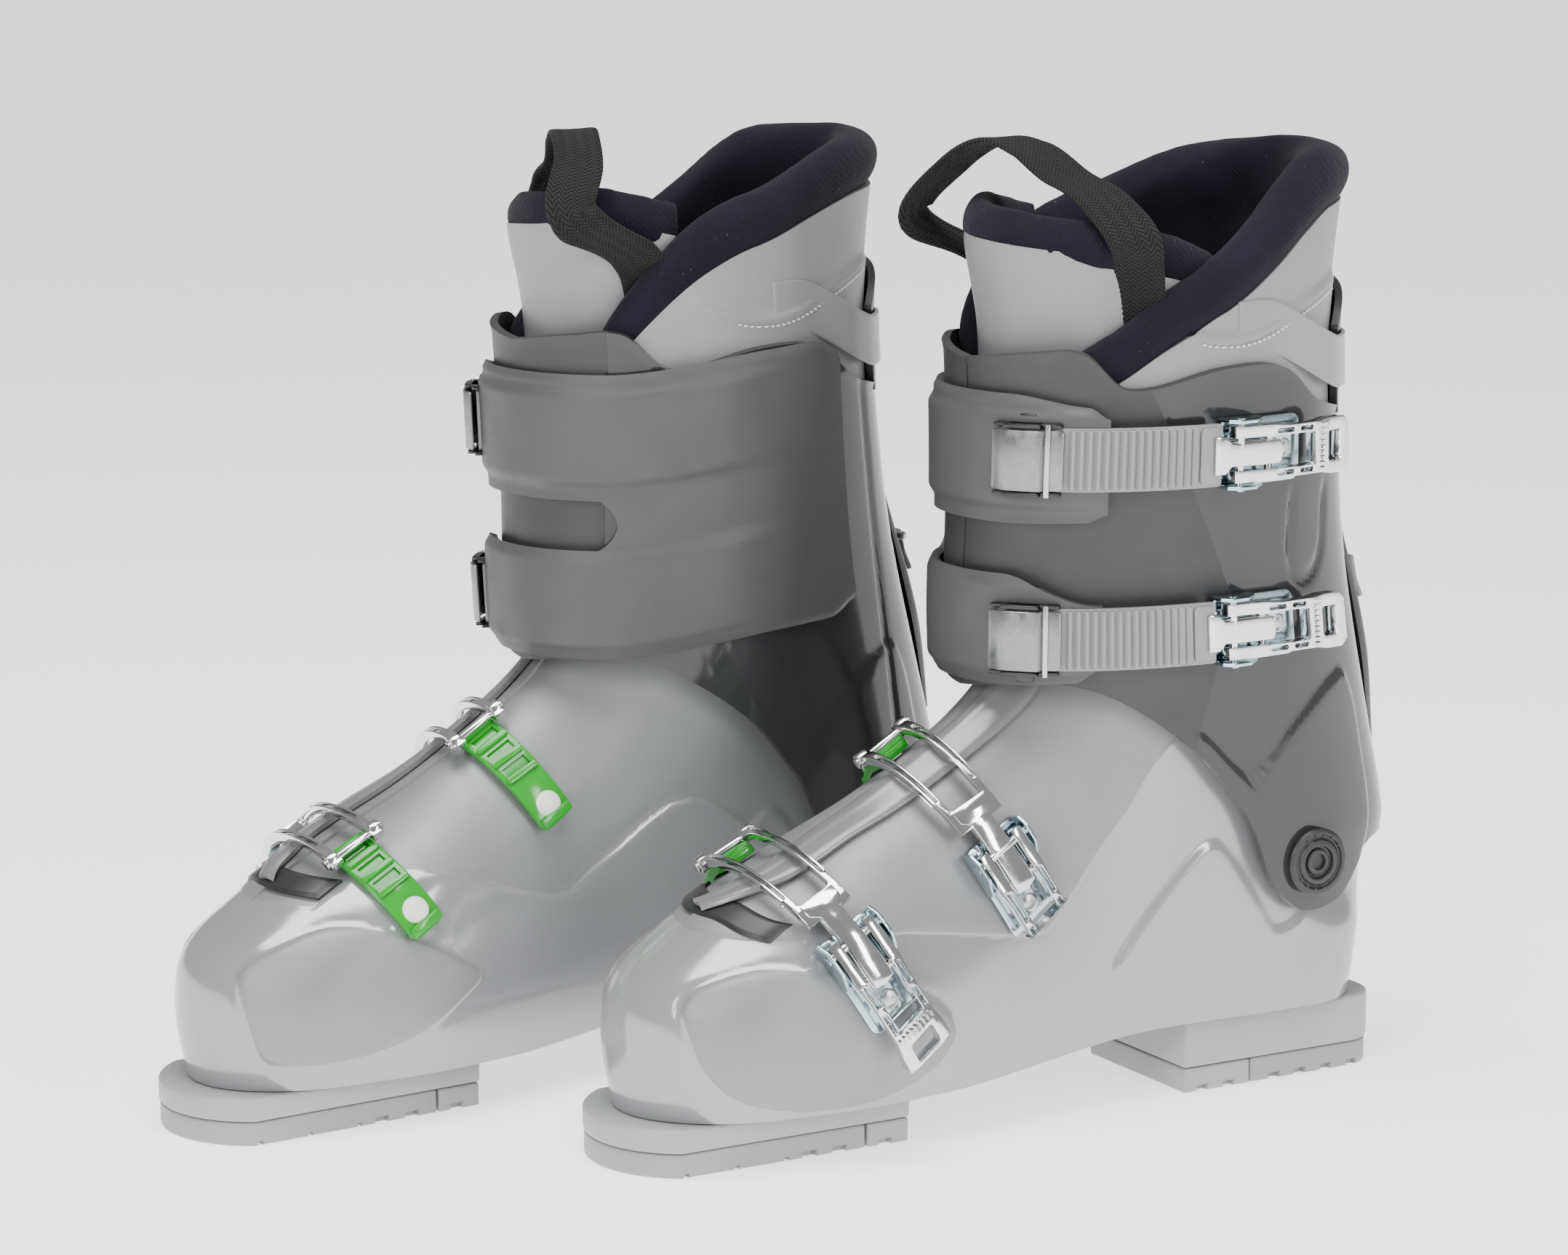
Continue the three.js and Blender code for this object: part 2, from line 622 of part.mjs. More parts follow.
// Forked bail that hooks over the ladder.
function bail(band, hook, s) {
  const outer = buckleWidth / 2 - 2;
  const crossbarAt = s - 14;
  const legs = [1, -1].map((side) => {
    const v = [side * outer, side * (outer - 3)].sort((a, b) => a - b);
    return slab(band, [hook - 3, crossbarAt], v, [hingeProud - 3, hingeProud + 1]);
  });
  return join([
    ...legs,
    slab(band, [crossbarAt - 5, crossbarAt + 2], [-outer, outer], [hingeProud - 3, hingeProud + 1]),
    crossBar(band, hook, hingeProud - 1, outer - 1, pinRadius),
    pullLink(band, s, crossbarAt),
  ]);
}

// Toothed ladder on the inner side of the instep.
const toothPitch = 9;
function ladder(band, from, to) {
  const half = buckleWidth / 2 - 6;
  const teeth = [];
  for (let s = from + 14; s < to - toothPitch; s += toothPitch) {
    teeth.push(slab(band, [s, s + toothPitch / 2], [-half, half], [2.6, 5]));
  }
  return join([slab(band, [from, to], [-half, half], [seat, 3.8]), ...teeth]);
}

// Ratchet strap from the catch to the lever's link pin.
function strap(band, from, s) {
  return join([
    slab(band, [from, s - 9], [-strapWidth / 2, strapWidth / 2], [flapFace + gap, flapFace + 4]),
    pullLink(band, s, s - 13),
  ]);
}

// Release plate over the mouth of the catch.
function catchPlate(band, from, to) {
  return slab(band, [from, to], [-strapWidth / 2, strapWidth / 2], [flapFace + gap, flapFace + 6.5]);
}

const toeBand = instepBand(109 * upLeg);
const instBand = instepBand(144 * upLeg);
const lowerCuffBand = cuffBand(195 * upLeg);
const upperCuffBand = cuffBand(266 * upLeg);
const bandRun = { toe: 57, instep: 56, cuff: 116 };
const catchFrom = 24;
const catchTo = 50;

// ---------------------------------------------------------------- one boot, then the pair
function bootParts() {
  return {
    lower_shell: [lowerShell(), shellGrey],
    toe_sole: [toeSole(), soleGrey],
    heel_sole: [heelSole(), soleGrey],
    cuff_shell: [cuffShell(), cuffGrey],
    cuff_flap: [cuffFlap(), matteGrey],
    pivot_lateral: [anklePivot(1), rivetSteel],
    pivot_medial: [anklePivot(-1), rivetSteel],
    liner_foot: [linerFoot(), linerCloth],
    liner_leg: [linerLeg(), linerCloth],
    tongue: [tongue(), linerCloth],
    pull_loop: [pullLoop(), webbing],
    spoiler: [spoiler(), blackPlastic],
    spine_plate: [spinePlate(), blackPlastic],
    walk_lever: [walkLever(), strapGrey],
    toe_ladder: [ladder(toeBand, -62, -14), greenPlastic],
    toe_base: [buckleBase(toeBand, bandRun.toe), zincPlate],
    toe_lever: [buckleLever(toeBand, bandRun.toe, leverLength - 6), polished],
    toe_bail: [bail(toeBand, -20, bandRun.toe), polished],
    instep_ladder: [ladder(instBand, -54, -2), greenPlastic],
    instep_base: [buckleBase(instBand, bandRun.instep), zincPlate],
    instep_lever: [buckleLever(instBand, bandRun.instep, leverLength), polished],
    instep_bail: [bail(instBand, -7, bandRun.instep), polished],
    lower_base: [buckleBase(lowerCuffBand, bandRun.cuff), zincPlate],
    lower_lever: [buckleLever(lowerCuffBand, bandRun.cuff, leverLength - 8), polished],
    lower_strap: [strap(lowerCuffBand, catchTo + 2, bandRun.cuff), strapGrey],
    lower_catch: [catchPlate(lowerCuffBand, catchFrom, catchTo), polished],
    upper_base: [buckleBase(upperCuffBand, bandRun.cuff), zincPlate],
    upper_lever: [buckleLever(upperCuffBand, bandRun.cuff, leverLength - 8), polished],
    upper_strap: [strap(upperCuffBand, catchTo + 2, bandRun.cuff), strapGrey],
    upper_catch: [catchPlate(upperCuffBand, catchFrom, catchTo), polished],
  };
}

function meshOf(solid, name, material) {
  const made = solid.getMesh();
  const geometry = new THREE.BufferGeometry();
  geometry.setAttribute("position", new THREE.BufferAttribute(made.vertProperties, 3));
  geometry.setIndex(new THREE.BufferAttribute(made.triVerts, 1));
  const mesh = new THREE.Mesh(geometry, material);
  mesh.name = name;
  return mesh;
}

const parts = bootParts();
const pair = new THREE.Group();
for (const side of ["left", "right"]) {
  const boot = new THREE.Group();
  for (const [name, [solid, material]] of Object.entries(parts)) {
    boot.add(meshOf(solid, `${side}_${name}`, material()));
  }
  if (side === "right") {
    boot.scale.x = -1;
    boot.position.set(-standApart, -standAhead, 0);
    boot.rotation.z = radians(standTurn);
  }
  pair.add(boot);
}

// The origin is on the floor under the middle of the pair's outline.
const outline = new THREE.Box3().setFromObject(pair);
const middle = outline.getCenter(new THREE.Vector3());
const group = new THREE.Group();
pair.position.set(-middle.x, -middle.y, 0);
group.add(pair);

export default group;
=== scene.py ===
"""Looks of a pair of alpine ski boots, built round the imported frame.

Every piece is shaped in millimetres in the left boot's own frame (outer side +X, toes -Y, floor at
zero) and then copied to both boots; the right one is the mirror image.
"""
import json
import math

import bmesh
import bpy
import numpy as np
from mathutils import Matrix, Vector


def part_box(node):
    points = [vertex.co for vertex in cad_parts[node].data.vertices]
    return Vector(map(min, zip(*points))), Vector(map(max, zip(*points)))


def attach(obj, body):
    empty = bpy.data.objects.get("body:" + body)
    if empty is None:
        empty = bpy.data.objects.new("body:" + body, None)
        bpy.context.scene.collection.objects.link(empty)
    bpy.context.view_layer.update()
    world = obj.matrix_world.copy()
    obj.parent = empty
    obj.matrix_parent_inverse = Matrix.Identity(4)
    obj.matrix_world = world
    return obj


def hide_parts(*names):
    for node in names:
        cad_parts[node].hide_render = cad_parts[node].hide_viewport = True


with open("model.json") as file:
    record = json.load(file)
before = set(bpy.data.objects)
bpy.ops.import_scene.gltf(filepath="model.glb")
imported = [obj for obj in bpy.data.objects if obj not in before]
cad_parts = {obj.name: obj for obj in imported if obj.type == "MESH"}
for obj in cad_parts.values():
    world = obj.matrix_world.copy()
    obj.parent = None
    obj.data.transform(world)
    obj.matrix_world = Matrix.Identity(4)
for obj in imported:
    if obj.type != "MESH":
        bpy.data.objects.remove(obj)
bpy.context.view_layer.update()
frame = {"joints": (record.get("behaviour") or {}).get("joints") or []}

# ------------------------------------------------------------------ where the two boots stand
MM = 0.001
TOE_TIP = -172.0
ANKLE_Y, ANKLE_Z = 130.0, 94.0
joints = {joint["name"]: joint for joint in frame["joints"]}


def boot_places():
    """Left boot from its toe lug, right boot from the axis of its cuff hinge."""
    low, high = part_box("left_toe_sole")
    to_metres = Matrix.Scale(MM, 4)
    left = Matrix.Translation(((low.x + high.x) / 2, low.y - TOE_TIP * MM, 0)) @ to_metres
    hinge = joints["right_cuff_tilt"]
    turn = Matrix.Rotation(math.atan2(-hinge["axis"][1], -hinge["axis"][0]), 4, "Z")
    centre = Vector(hinge["pos_m"]) - turn @ Vector((0, ANKLE_Y * MM, ANKLE_Z * MM))
    mirror = Matrix.Scale(-1, 4, Vector((1, 0, 0)))
    return {"left": left, "right": Matrix.Translation(centre) @ turn @ to_metres @ mirror}


PLACES = boot_places()

# ------------------------------------------------------------------ camera
CAMERA_AT = Vector((1506.74, -957.83, 523.48))  # mm, left boot's frame
CAMERA_TURN, CAMERA_RISE = math.radians(60.0), math.radians(10.48)
FOCAL = 6321.07 / 2156  # focal length over frame width
SENSOR = 36


def add_camera():
    level = math.cos(CAMERA_RISE)
    back = Vector((math.sin(CAMERA_TURN) * level, -math.cos(CAMERA_TURN) * level, math.sin(CAMERA_RISE)))
    right = Vector((math.cos(CAMERA_TURN), math.sin(CAMERA_TURN), 0))
    up = back.cross(right)
    bpy.ops.object.camera_add()
    camera = bpy.context.object
    pose = Matrix((right, up, back)).transposed().to_4x4()
    camera.matrix_world = Matrix.Translation(PLACES["left"] @ CAMERA_AT) @ pose
    camera.data.sensor_width = SENSOR
    camera.data.lens = FOCAL * SENSOR
    camera.data.clip_end = 50
    bpy.context.scene.camera = camera


# ------------------------------------------------------------------ curves through key values
def curve(keys):
    """Smooth function through (place, value) keys, level past both ends."""
    x, y = np.array(keys, float).T
    count = len(x)
    before, after = np.maximum(np.arange(count) - 1, 0), np.minimum(np.arange(count) + 1, count - 1)
    slope = (y[after] - y[before]) / (x[after] - x[before])

    def value(at):
        s = np.clip(at, x[0], x[-1])
        i = np.clip(np.searchsorted(x, s) - 1, 0, count - 2)
        h = x[i + 1] - x[i]
        t = (s - x[i]) / h
        u = 1 - t
        return (u * u * (1 + 2 * t) * y[i] + t * t * (3 - 2 * t) * y[i + 1]
                + u * t * h * (u * slope[i] - t * slope[i + 1]))
    return value


def smooth(a, b, at):
    t = np.clip((np.asarray(at, float) - a) / (b - a), 0, 1)
    return t * t * (3 - 2 * t)


def mix(a, b, t):
    return a + (b - a) * t


def hump(distance, width):
    """1 on a line and falling to 0 within about a width of it."""
    return np.exp(-(distance / width) ** 2)


def unit(vectors):
    return vectors / np.maximum(np.linalg.norm(vectors, axis=-1, keepdims=True), 1e-9)


def stack(*parts):
    return np.stack(np.broadcast_arrays(*parts), -1)


def length_along(path):
    """Length from a path's first point to each of its points."""
    return np.concatenate([[0], np.cumsum(np.linalg.norm(np.diff(path, axis=0), axis=1))])


# ------------------------------------------------------------------ form of the lower shell
HALVINGS = 24  # of a search for the shell's face

toe_line = curve([(18, -160), (40, -163), (58, -162.5), (68, -159.5), (76, -152.5), (84, -141), (92, -130),
                  (102, -113), (114, -90), (128, -61), (144, -34), (158, -13), (172, 2), (190, 12)])
heel_line = curve([(18, 173.5), (45, 174.5), (62, 178), (78, 182.5), (94, 184), (110, 184), (130, 180),
                   (150, 175), (190, 168)])
outer_side = curve([(-172, 36), (-150, 43), (-125, 49), (-95, 54), (-70, 55), (-40, 51), (0, 45), (40, 42),
                    (80, 42), (120, 43.5), (160, 42), (190, 40)])
inner_side = curve([(-172, 36), (-150, 42), (-125, 47), (-95, 51), (-70, 52), (-40, 48), (0, 42), (40, 40),
                    (80, 41), (120, 43.5), (160, 42), (190, 40)])
tuck_under = curve([(18, 0.8), (26, 0.89), (36, 0.96), (50, 1), (190, 1)])
toe_rounding = curve([(18, 45), (60, 45), (80, 60), (100, 70), (130, 70), (160, 55), (190, 50)])
narrowing = curve([(-172, 0.6), (-60, 0.6), (0, 0.35), (60, 0.05), (100, 0), (190, 0)])
heel_rounding = curve([(18, 38), (60, 40), (84, 92), (190, 92)])


def rounded_end(q, power):
    return (1 - (1 - np.clip(q, 0, 1)) ** power) ** (1 / power)


def shell_half_width(y, z, outer):
    plan = np.where(outer, outer_side(y), inner_side(y)) * tuck_under(z)
    taper = 1 - narrowing(y) * np.clip((z - 50) / 100, 0, 1.4) ** 1.5
    front = rounded_end((y - toe_line(z)) / toe_rounding(z), 2.2)
    rear = rounded_end((heel_line(z) - y) / heel_rounding(z), 2.25)
    return plan * taper * front * rear


def shell_face(turn, z):
    """Outer face of the shell; turn runs 0..1 round the outline from the toe by the outer side."""
    turn = np.mod(turn, 1.0)
    outer = turn < 0.5
    t = np.where(outer, 2 * turn, 2 - 2 * turn)
    y = mix(toe_line(z), heel_line(z), (1 - np.cos(np.pi * t)) / 2)
    return stack(np.where(outer, 1, -1) * shell_half_width(y, z, outer), y, z)


def shell_normal(turn, z):
    round_it = shell_face(turn + 0.002, z) - shell_face(turn - 0.002, z)
    up_it = shell_face(turn, z + 0.7) - shell_face(turn, z - 0.7)
    return unit(np.cross(round_it, up_it))


def on_shell(turn, z, proud):
    return shell_face(turn, z) + shell_normal(turn, z) * np.asarray(proud, float)[..., None]


def shell_underside(y):
    return mix(19.0, 30.0, smooth(-40, 68, y)) + 0.5


def shell_ridge(x, z):
    """How far forward the shell reaches at x and height z."""
    near, far = toe_line(z), toe_line(z) + 90
    for _ in range(HALVINGS):
        middle = (near + far) / 2
        inside = np.abs(x) < shell_half_width(middle, z, x >= 0)
        near, far = np.where(inside, near, middle), np.where(inside, middle, far)
    return (near + far) / 2


# ------------------------------------------------------------------ form of the cuff and the leg
cuff_front = curve([(70, -4), (170, -8), (200, -9), (240, -8), (300, -9), (345, -14)])
cuff_rear = curve([(70, 190), (93, 191), (106, 192), (148, 182), (207, 167), (241, 161), (300, 155),
                   (330, 157), (370, 163)])
cuff_side = curve([(70, 49), (94, 50), (120, 50), (150, 51), (200, 54), (250, 57), (310, 60), (380, 57)])
cuff_cant = curve([(94, 0), (150, 0.6), (300, 5), (380, 6)])
SQUARENESS = 2.25


def leg_face(angle, z, proud=0.0):
    """Face of the cuff and, inset, of the liner; angle 0 in front and a quarter turn on the outer side."""
    front, rear = cuff_front(z), cuff_rear(z)
    power = 2 / SQUARENESS
    s, c = np.sin(angle), np.cos(angle)
    return stack(cuff_cant(z) + (cuff_side(z) + proud) * np.sign(s) * np.abs(s) ** power,
                 (front + rear) / 2 - ((rear - front) / 2 + proud) * np.sign(c) * np.abs(c) ** power, z)


# ------------------------------------------------------------------ bands: places along a strap
class Band:
    """at(s, v, h): s mm round the boot from its front line towards the outer side, v across, h proud."""

    def __init__(self, point, first, last):
        self.point = point
        self.angles = np.radians(np.linspace(first, last, 121))
        rail = point(self.angles, np.zeros(121), np.zeros(121))
        self.run = length_along(rail)
        self.zero = self.run[self.angles <= 0][-1]

    def at(self, s, v, h):
        s, v, h = np.broadcast_arrays(np.asarray(s, float), v, h)
        return self.point(np.interp(s + self.zero, self.run, self.angles), v, h)


def cuff_band(height):
    return Band(lambda angle, v, h: leg_face(angle, height + v, h), -60, 175)


def instep_band(ridge_height):
    lean = math.radians(31)
    down = np.array([0, math.sin(lean), -math.cos(lean)])
    sideways = np.array([0, math.cos(lean), math.sin(lean)])
    centre = np.array([0, float(toe_line(ridge_height)), ridge_height]) + down * 45

    def reach(angle, v):
        start = centre + v[..., None] * sideways
        ray = stack(np.sin(angle), 0, 0) - np.cos(angle)[..., None] * down
        near, far = np.zeros_like(angle), np.full_like(angle, 120.0)
        for _ in range(HALVINGS):
            middle = (near + far) / 2
            p = start + middle[..., None] * ray
            half = shell_half_width(p[..., 1], p[..., 2], p[..., 0] >= 0)
            inside = (p[..., 1] > toe_line(p[..., 2])) & (np.abs(p[..., 0]) < half)
            near, far = np.where(inside, middle, near), np.where(inside, far, middle)
        return start + near[..., None] * ray

    def point(angle, v, h):
        tangent = reach(angle + 0.03, v) - reach(angle - 0.03, v)
        out = unit(np.cross(tangent, sideways))
        return reach(angle, v) + out * np.asarray(h, float)[..., None]
    return Band(point, -95, 118)


TOE, INSTEP = instep_band(109), instep_band(144)
LOWER, UPPER = cuff_band(195), cuff_band(266)


# ------------------------------------------------------------------ modelling helpers
def deselect():
    for obj in bpy.context.selected_objects:
        obj.select_set(False)


def active(obj):
    deselect()
    obj.select_set(True)
    bpy.context.view_layer.objects.active = obj
    return obj


def finish_with(obj, kind, **settings):
    """Adds a modifier with its settings and applies it."""
    active(obj)
    modifier = obj.modifiers.new(kind.title(), kind)
    for name, value in settings.items():
        setattr(modifier, name, value)
    bpy.ops.object.modifier_apply(modifier=modifier.name)
    return obj


def points_of(obj):
    co = np.zeros(len(obj.data.vertices) * 3)
    obj.data.vertices.foreach_get("co", co)
    return co.reshape(-1, 3)


def set_points(obj, co):
    obj.data.vertices.foreach_set("co", np.asarray(co, float).ravel())
    obj.data.update()
    return obj


def weld(obj, distance=0.002):
    active(obj)
    bpy.ops.object.mode_set(mode="EDIT")
    bpy.ops.mesh.select_all(action="SELECT")
    bpy.ops.mesh.remove_doubles(threshold=distance)
    bpy.ops.object.mode_set(mode="OBJECT")
    return obj


def face_outwards(obj):
    """Turns the faces of a closed body outwards, going by its volume."""
    mesh = bmesh.new()
    mesh.from_mesh(obj.data)
    if mesh.calc_volume(signed=True) < 0:
        bmesh.ops.reverse_faces(mesh, faces=mesh.faces)
    mesh.to_mesh(obj.data)
    mesh.free()
    return obj


def turned_out(obj):
    """Turns each face outwards, going by its neighbours."""
    active(obj)
    bpy.ops.object.mode_set(mode="EDIT")
    bpy.ops.mesh.select_all(action="SELECT")
    bpy.ops.mesh.normals_make_consistent(inside=False)
    bpy.ops.object.mode_set(mode="OBJECT")
    return obj


def lay(name, columns, rows, place, keep=None):
    """A grid laid over a surface: place(u, v) gives points in mm, and keep(u, v) says which faces stay."""
    bpy.ops.mesh.primitive_grid_add(x_subdivisions=columns, y_subdivisions=rows, size=2)
    obj = bpy.context.object
    obj.name = name
    flat = points_of(obj)
    uv = (flat[:, :2] + 1) / 2
    if keep is not None:
        mesh = bmesh.new()
        mesh.from_mesh(obj.data)
        gone = [f for f in mesh.faces
                if not keep((f.calc_center_median().x + 1) / 2, (f.calc_center_median().y + 1) / 2)]
        bmesh.ops.delete(mesh, geom=gone, context="FACES")
        mesh.to_mesh(obj.data)
        mesh.free()
        uv = (points_of(obj)[:, :2] + 1) / 2
    set_points(obj, place(uv[:, 0], uv[:, 1]))
    return obj


def wall(obj, thickness):
    """Gives a sheet its thickness inwards from the face that shows."""
    finish_with(obj, "SOLIDIFY", thickness=thickness, offset=-1, use_rim=True, use_even_offset=False)
    return face_outwards(obj)


def close_ends(obj):
    """Fills the open ends of a swept body."""
    mesh = bmesh.new()
    mesh.from_mesh(obj.data)
    bmesh.ops.holes_fill(mesh, edges=[e for e in mesh.edges if e.is_boundary])
    mesh.to_mesh(obj.data)
    mesh.free()
    return face_outwards(obj)


def eased(obj, width, segments=2, angle=50):
    """Rounds sharp edges over by a width."""
    return finish_with(obj, "BEVEL", width=width, segments=segments, limit_method="ANGLE",
                       angle_limit=math.radians(angle))


def crisp(obj, angle=32):
    active(obj)
    bpy.ops.object.shade_smooth_by_angle(angle=math.radians(angle))
    return obj


def write_attribute(obj, name, values):
    layer = obj.data.attributes.get(name) or obj.data.attributes.new(name, "FLOAT", "POINT")
    layer.data.foreach_set("value", np.asarray(values, np.float32))


def join(objects, name):
    active(objects[0])
    for obj in objects:
        obj.select_set(True)
    if len(objects) > 1:
        bpy.ops.object.join()
    bpy.context.object.name = name
    return bpy.context.object


def set_on_boots(obj, name, body, material, stands_for=()):
    """Puts a left and a mirrored right copy of a piece in place, each on its own body."""
    made = {}
    for side, place in PLACES.items():
        mesh = obj.data.copy()
        mesh.transform(place)
        if place.determinant() < 0:
            mesh.flip_normals()
        mesh.materials.clear()
        mesh.materials.append(material)
        piece = bpy.data.objects.new(f"{side}_{name}", mesh)
        bpy.context.scene.collection.objects.link(piece)
        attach(piece, "shells" if body == "shells" else f"{side}_{body}_body")
        if stands_for:
            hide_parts(*[f"{side}_{node}" for node in stands_for])
        made[side] = piece
    bpy.data.objects.remove(obj)
    return made


def rounded(points, steps=6):
    """Closed smooth outline through corner points, as many points per corner as steps."""
    p = np.array(points, float)
    a, b, c, d = np.roll(p, 1, 0), p, np.roll(p, -1, 0), np.roll(p, -2, 0)
    out = []
    for t in np.arange(steps) / steps:
        out.append(0.5 * (2 * b + (c - a) * t + (2 * a - 5 * b + 4 * c - d) * t ** 2
                          + (3 * b - a - 3 * c + d) * t ** 3))
    return np.stack(out, 1).reshape(-1, 2)


def distance_inside(outline, y, z):
    """Signed distance to a closed outline, positive inside."""
    p = np.stack([y, z], -1)[:, None, :]
    a = np.array(outline, float)
    b = np.roll(a, -1, 0)
    ab = b - a
    t = np.clip(((p - a) * ab).sum(-1) / (ab * ab).sum(-1), 0, 1)
    near = np.sqrt((((a + t[..., None] * ab) - p) ** 2).sum(-1)).min(1)
    yy, zz = p[..., 0], p[..., 1]
    with np.errstate(divide="ignore", invalid="ignore"):
        cross = ((a[:, 1] > zz) != (b[:, 1] > zz)) & (yy < ab[:, 0] * (zz - a[:, 1]) / ab[:, 1] + a[:, 0])
    return np.where(cross.sum(1) % 2 == 1, near, -near)


# ------------------------------------------------------------------ materials
def nodes_of(name, color, roughness, metallic=0.0, **sockets):
    """A Principled material; each other keyword is a socket name with its level."""
    material = bpy.data.materials.new(name)
    material.use_nodes = True
    tree = material.node_tree
    shader = tree.nodes["Principled BSDF"]
    shader.inputs["Base Color"].default_value = (*color, 1)
    shader.inputs["Roughness"].default_value = roughness
    shader.inputs["Metallic"].default_value = metallic
    for socket, level in sockets.items():
        shader.inputs[socket.replace("_", " ")].default_value = level
    return material, tree, shader


def noise(tree, scale, detail=3.0):
    """Noise on the piece's own coordinates, in cycles per metre."""
    place = tree.nodes.new("ShaderNodeTexCoord")
    texture = tree.nodes.new("ShaderNodeTexNoise")
    texture.inputs["Scale"].default_value = scale
    texture.inputs["Detail"].default_value = detail
    tree.links.new(place.outputs["Object"], texture.inputs["Vector"])
    return texture.outputs["Fac"]


def spread(tree, value, low, high, from_low=0.3, from_high=0.7):
    """A socket's range taken to another range, clamped."""
    ramp = tree.nodes.new("ShaderNodeMapRange")
    ramp.inputs["From Min"].default_value = from_low
    ramp.inputs["From Max"].default_value = from_high
    ramp.inputs["To Min"].default_value = low
    ramp.inputs["To Max"].default_value = high
    tree.links.new(value, ramp.inputs["Value"])
    return ramp.outputs["Result"]


def maths(tree, operation, a, b=0.0):
    """A Math node on a socket and a second socket or number."""
    node = tree.nodes.new("ShaderNodeMath")
    node.operation = operation
    tree.links.new(a, node.inputs[0])
    if isinstance(b, (int, float)):
        node.inputs[1].default_value = b
    else:
        tree.links.new(b, node.inputs[1])
    return node.outputs[0]


def blend_color(tree, share, low, high):
    """Colour between two colours, or two colour sockets, by a share from 0 to 1."""
    node = tree.nodes.new("ShaderNodeMix")
    node.data_type = "RGBA"
    tree.links.new(share, node.inputs["Factor"])
    for socket, value in ((node.inputs[6], low), (node.inputs[7], high)):
        if isinstance(value, tuple):
            socket.default_value = (*value, 1)
        else:
            tree.links.new(value, socket)
    return node.outputs[2]


def bump(tree, height, strength, distance, after=None):
    node = tree.nodes.new("ShaderNodeBump")
    node.inputs["Strength"].default_value = strength
    node.inputs["Distance"].default_value = distance
    tree.links.new(height, node.inputs["Height"])
    if after is not None:
        tree.links.new(after, node.inputs["Normal"])
    return node.outputs["Normal"]


def named(tree, attribute):
    node = tree.nodes.new("ShaderNodeAttribute")
    node.attribute_name = attribute
    return node.outputs["Fac"]


def shade(color, factor):
    return tuple(c * factor for c in color)


def moulded(name, color, roughness, grain=0.0, grain_scale=1800, **sockets):
    """Moulded plastic: faint cloudiness of colour, uneven gloss and a fine grain."""
    material, tree, shader = nodes_of(name, color, roughness, **sockets)
    cloud = spread(tree, noise(tree, 14, 4), 0, 1)
    tree.links.new(blend_color(tree, cloud, shade(color, 0.94), shade(color, 1.06)),
                   shader.inputs["Base Color"])
    rub = noise(tree, 60, 5)
    tree.links.new(spread(tree, rub, roughness * 0.85, roughness * 1.2), shader.inputs["Roughness"])
    fine = noise(tree, grain_scale, 2)
    waves = noise(tree, 22, 2)
    normal = bump(tree, waves, 0.12, 0.0006)
    tree.links.new(bump(tree, fine, grain or 0.02, 0.0001, normal), shader.inputs["Normal"])
    return material


def two_finishes(name, gloss_color, gloss_rough, matte_color, matte_rough, metallic):
    """Glossy plastic with matte fields where the piece's "matte" attribute is above zero."""
    material, tree, shader = nodes_of(name, gloss_color, gloss_rough, metallic=metallic, Coat_Roughness=0.12)
    field = named(tree, "matte")
    share = spread(tree, field, 0, 1, -0.15, 0.15)
    cloud = spread(tree, noise(tree, 11, 4), 0, 1)
    gloss = blend_color(tree, cloud, shade(gloss_color, 0.95), shade(gloss_color, 1.05))
    matte = blend_color(tree, cloud, shade(matte_color, 0.97), shade(matte_color, 1.03))
    tree.links.new(blend_color(tree, share, gloss, matte), shader.inputs["Base Color"])
    rub = spread(tree, noise(tree, 55, 5), 0.9, 1.15)
    rough = spread(tree, share, gloss_rough, matte_rough, 0, 1)
    tree.links.new(maths(tree, "MULTIPLY", rough, rub), shader.inputs["Roughness"])
    grain = maths(tree, "MULTIPLY", noise(tree, 2200, 2), share)
    edge = spread(tree, field, 0, 1, -0.9, 0.9)
    normal = bump(tree, edge, 0.5, 0.0005)
    normal = bump(tree, noise(tree, 18, 2), 0.10, 0.0008, normal)
    tree.links.new(bump(tree, grain, 0.22, 0.00012, normal), shader.inputs["Normal"])
    return material


def metal(name, color, roughness):
    """Cast or rolled metal with uneven gloss."""
    material, tree, shader = nodes_of(name, color, roughness, metallic=1.0)
    cloud = spread(tree, noise(tree, 35, 3), 0, 1)
    tree.links.new(blend_color(tree, cloud, shade(color, 0.9), color), shader.inputs["Base Color"])
    rub = noise(tree, 220, 4)
    tree.links.new(spread(tree, rub, roughness * 0.7, roughness * 1.5), shader.inputs["Roughness"])
    tree.links.new(bump(tree, noise(tree, 900, 3), 0.06, 0.0002), shader.inputs["Normal"])
    return material


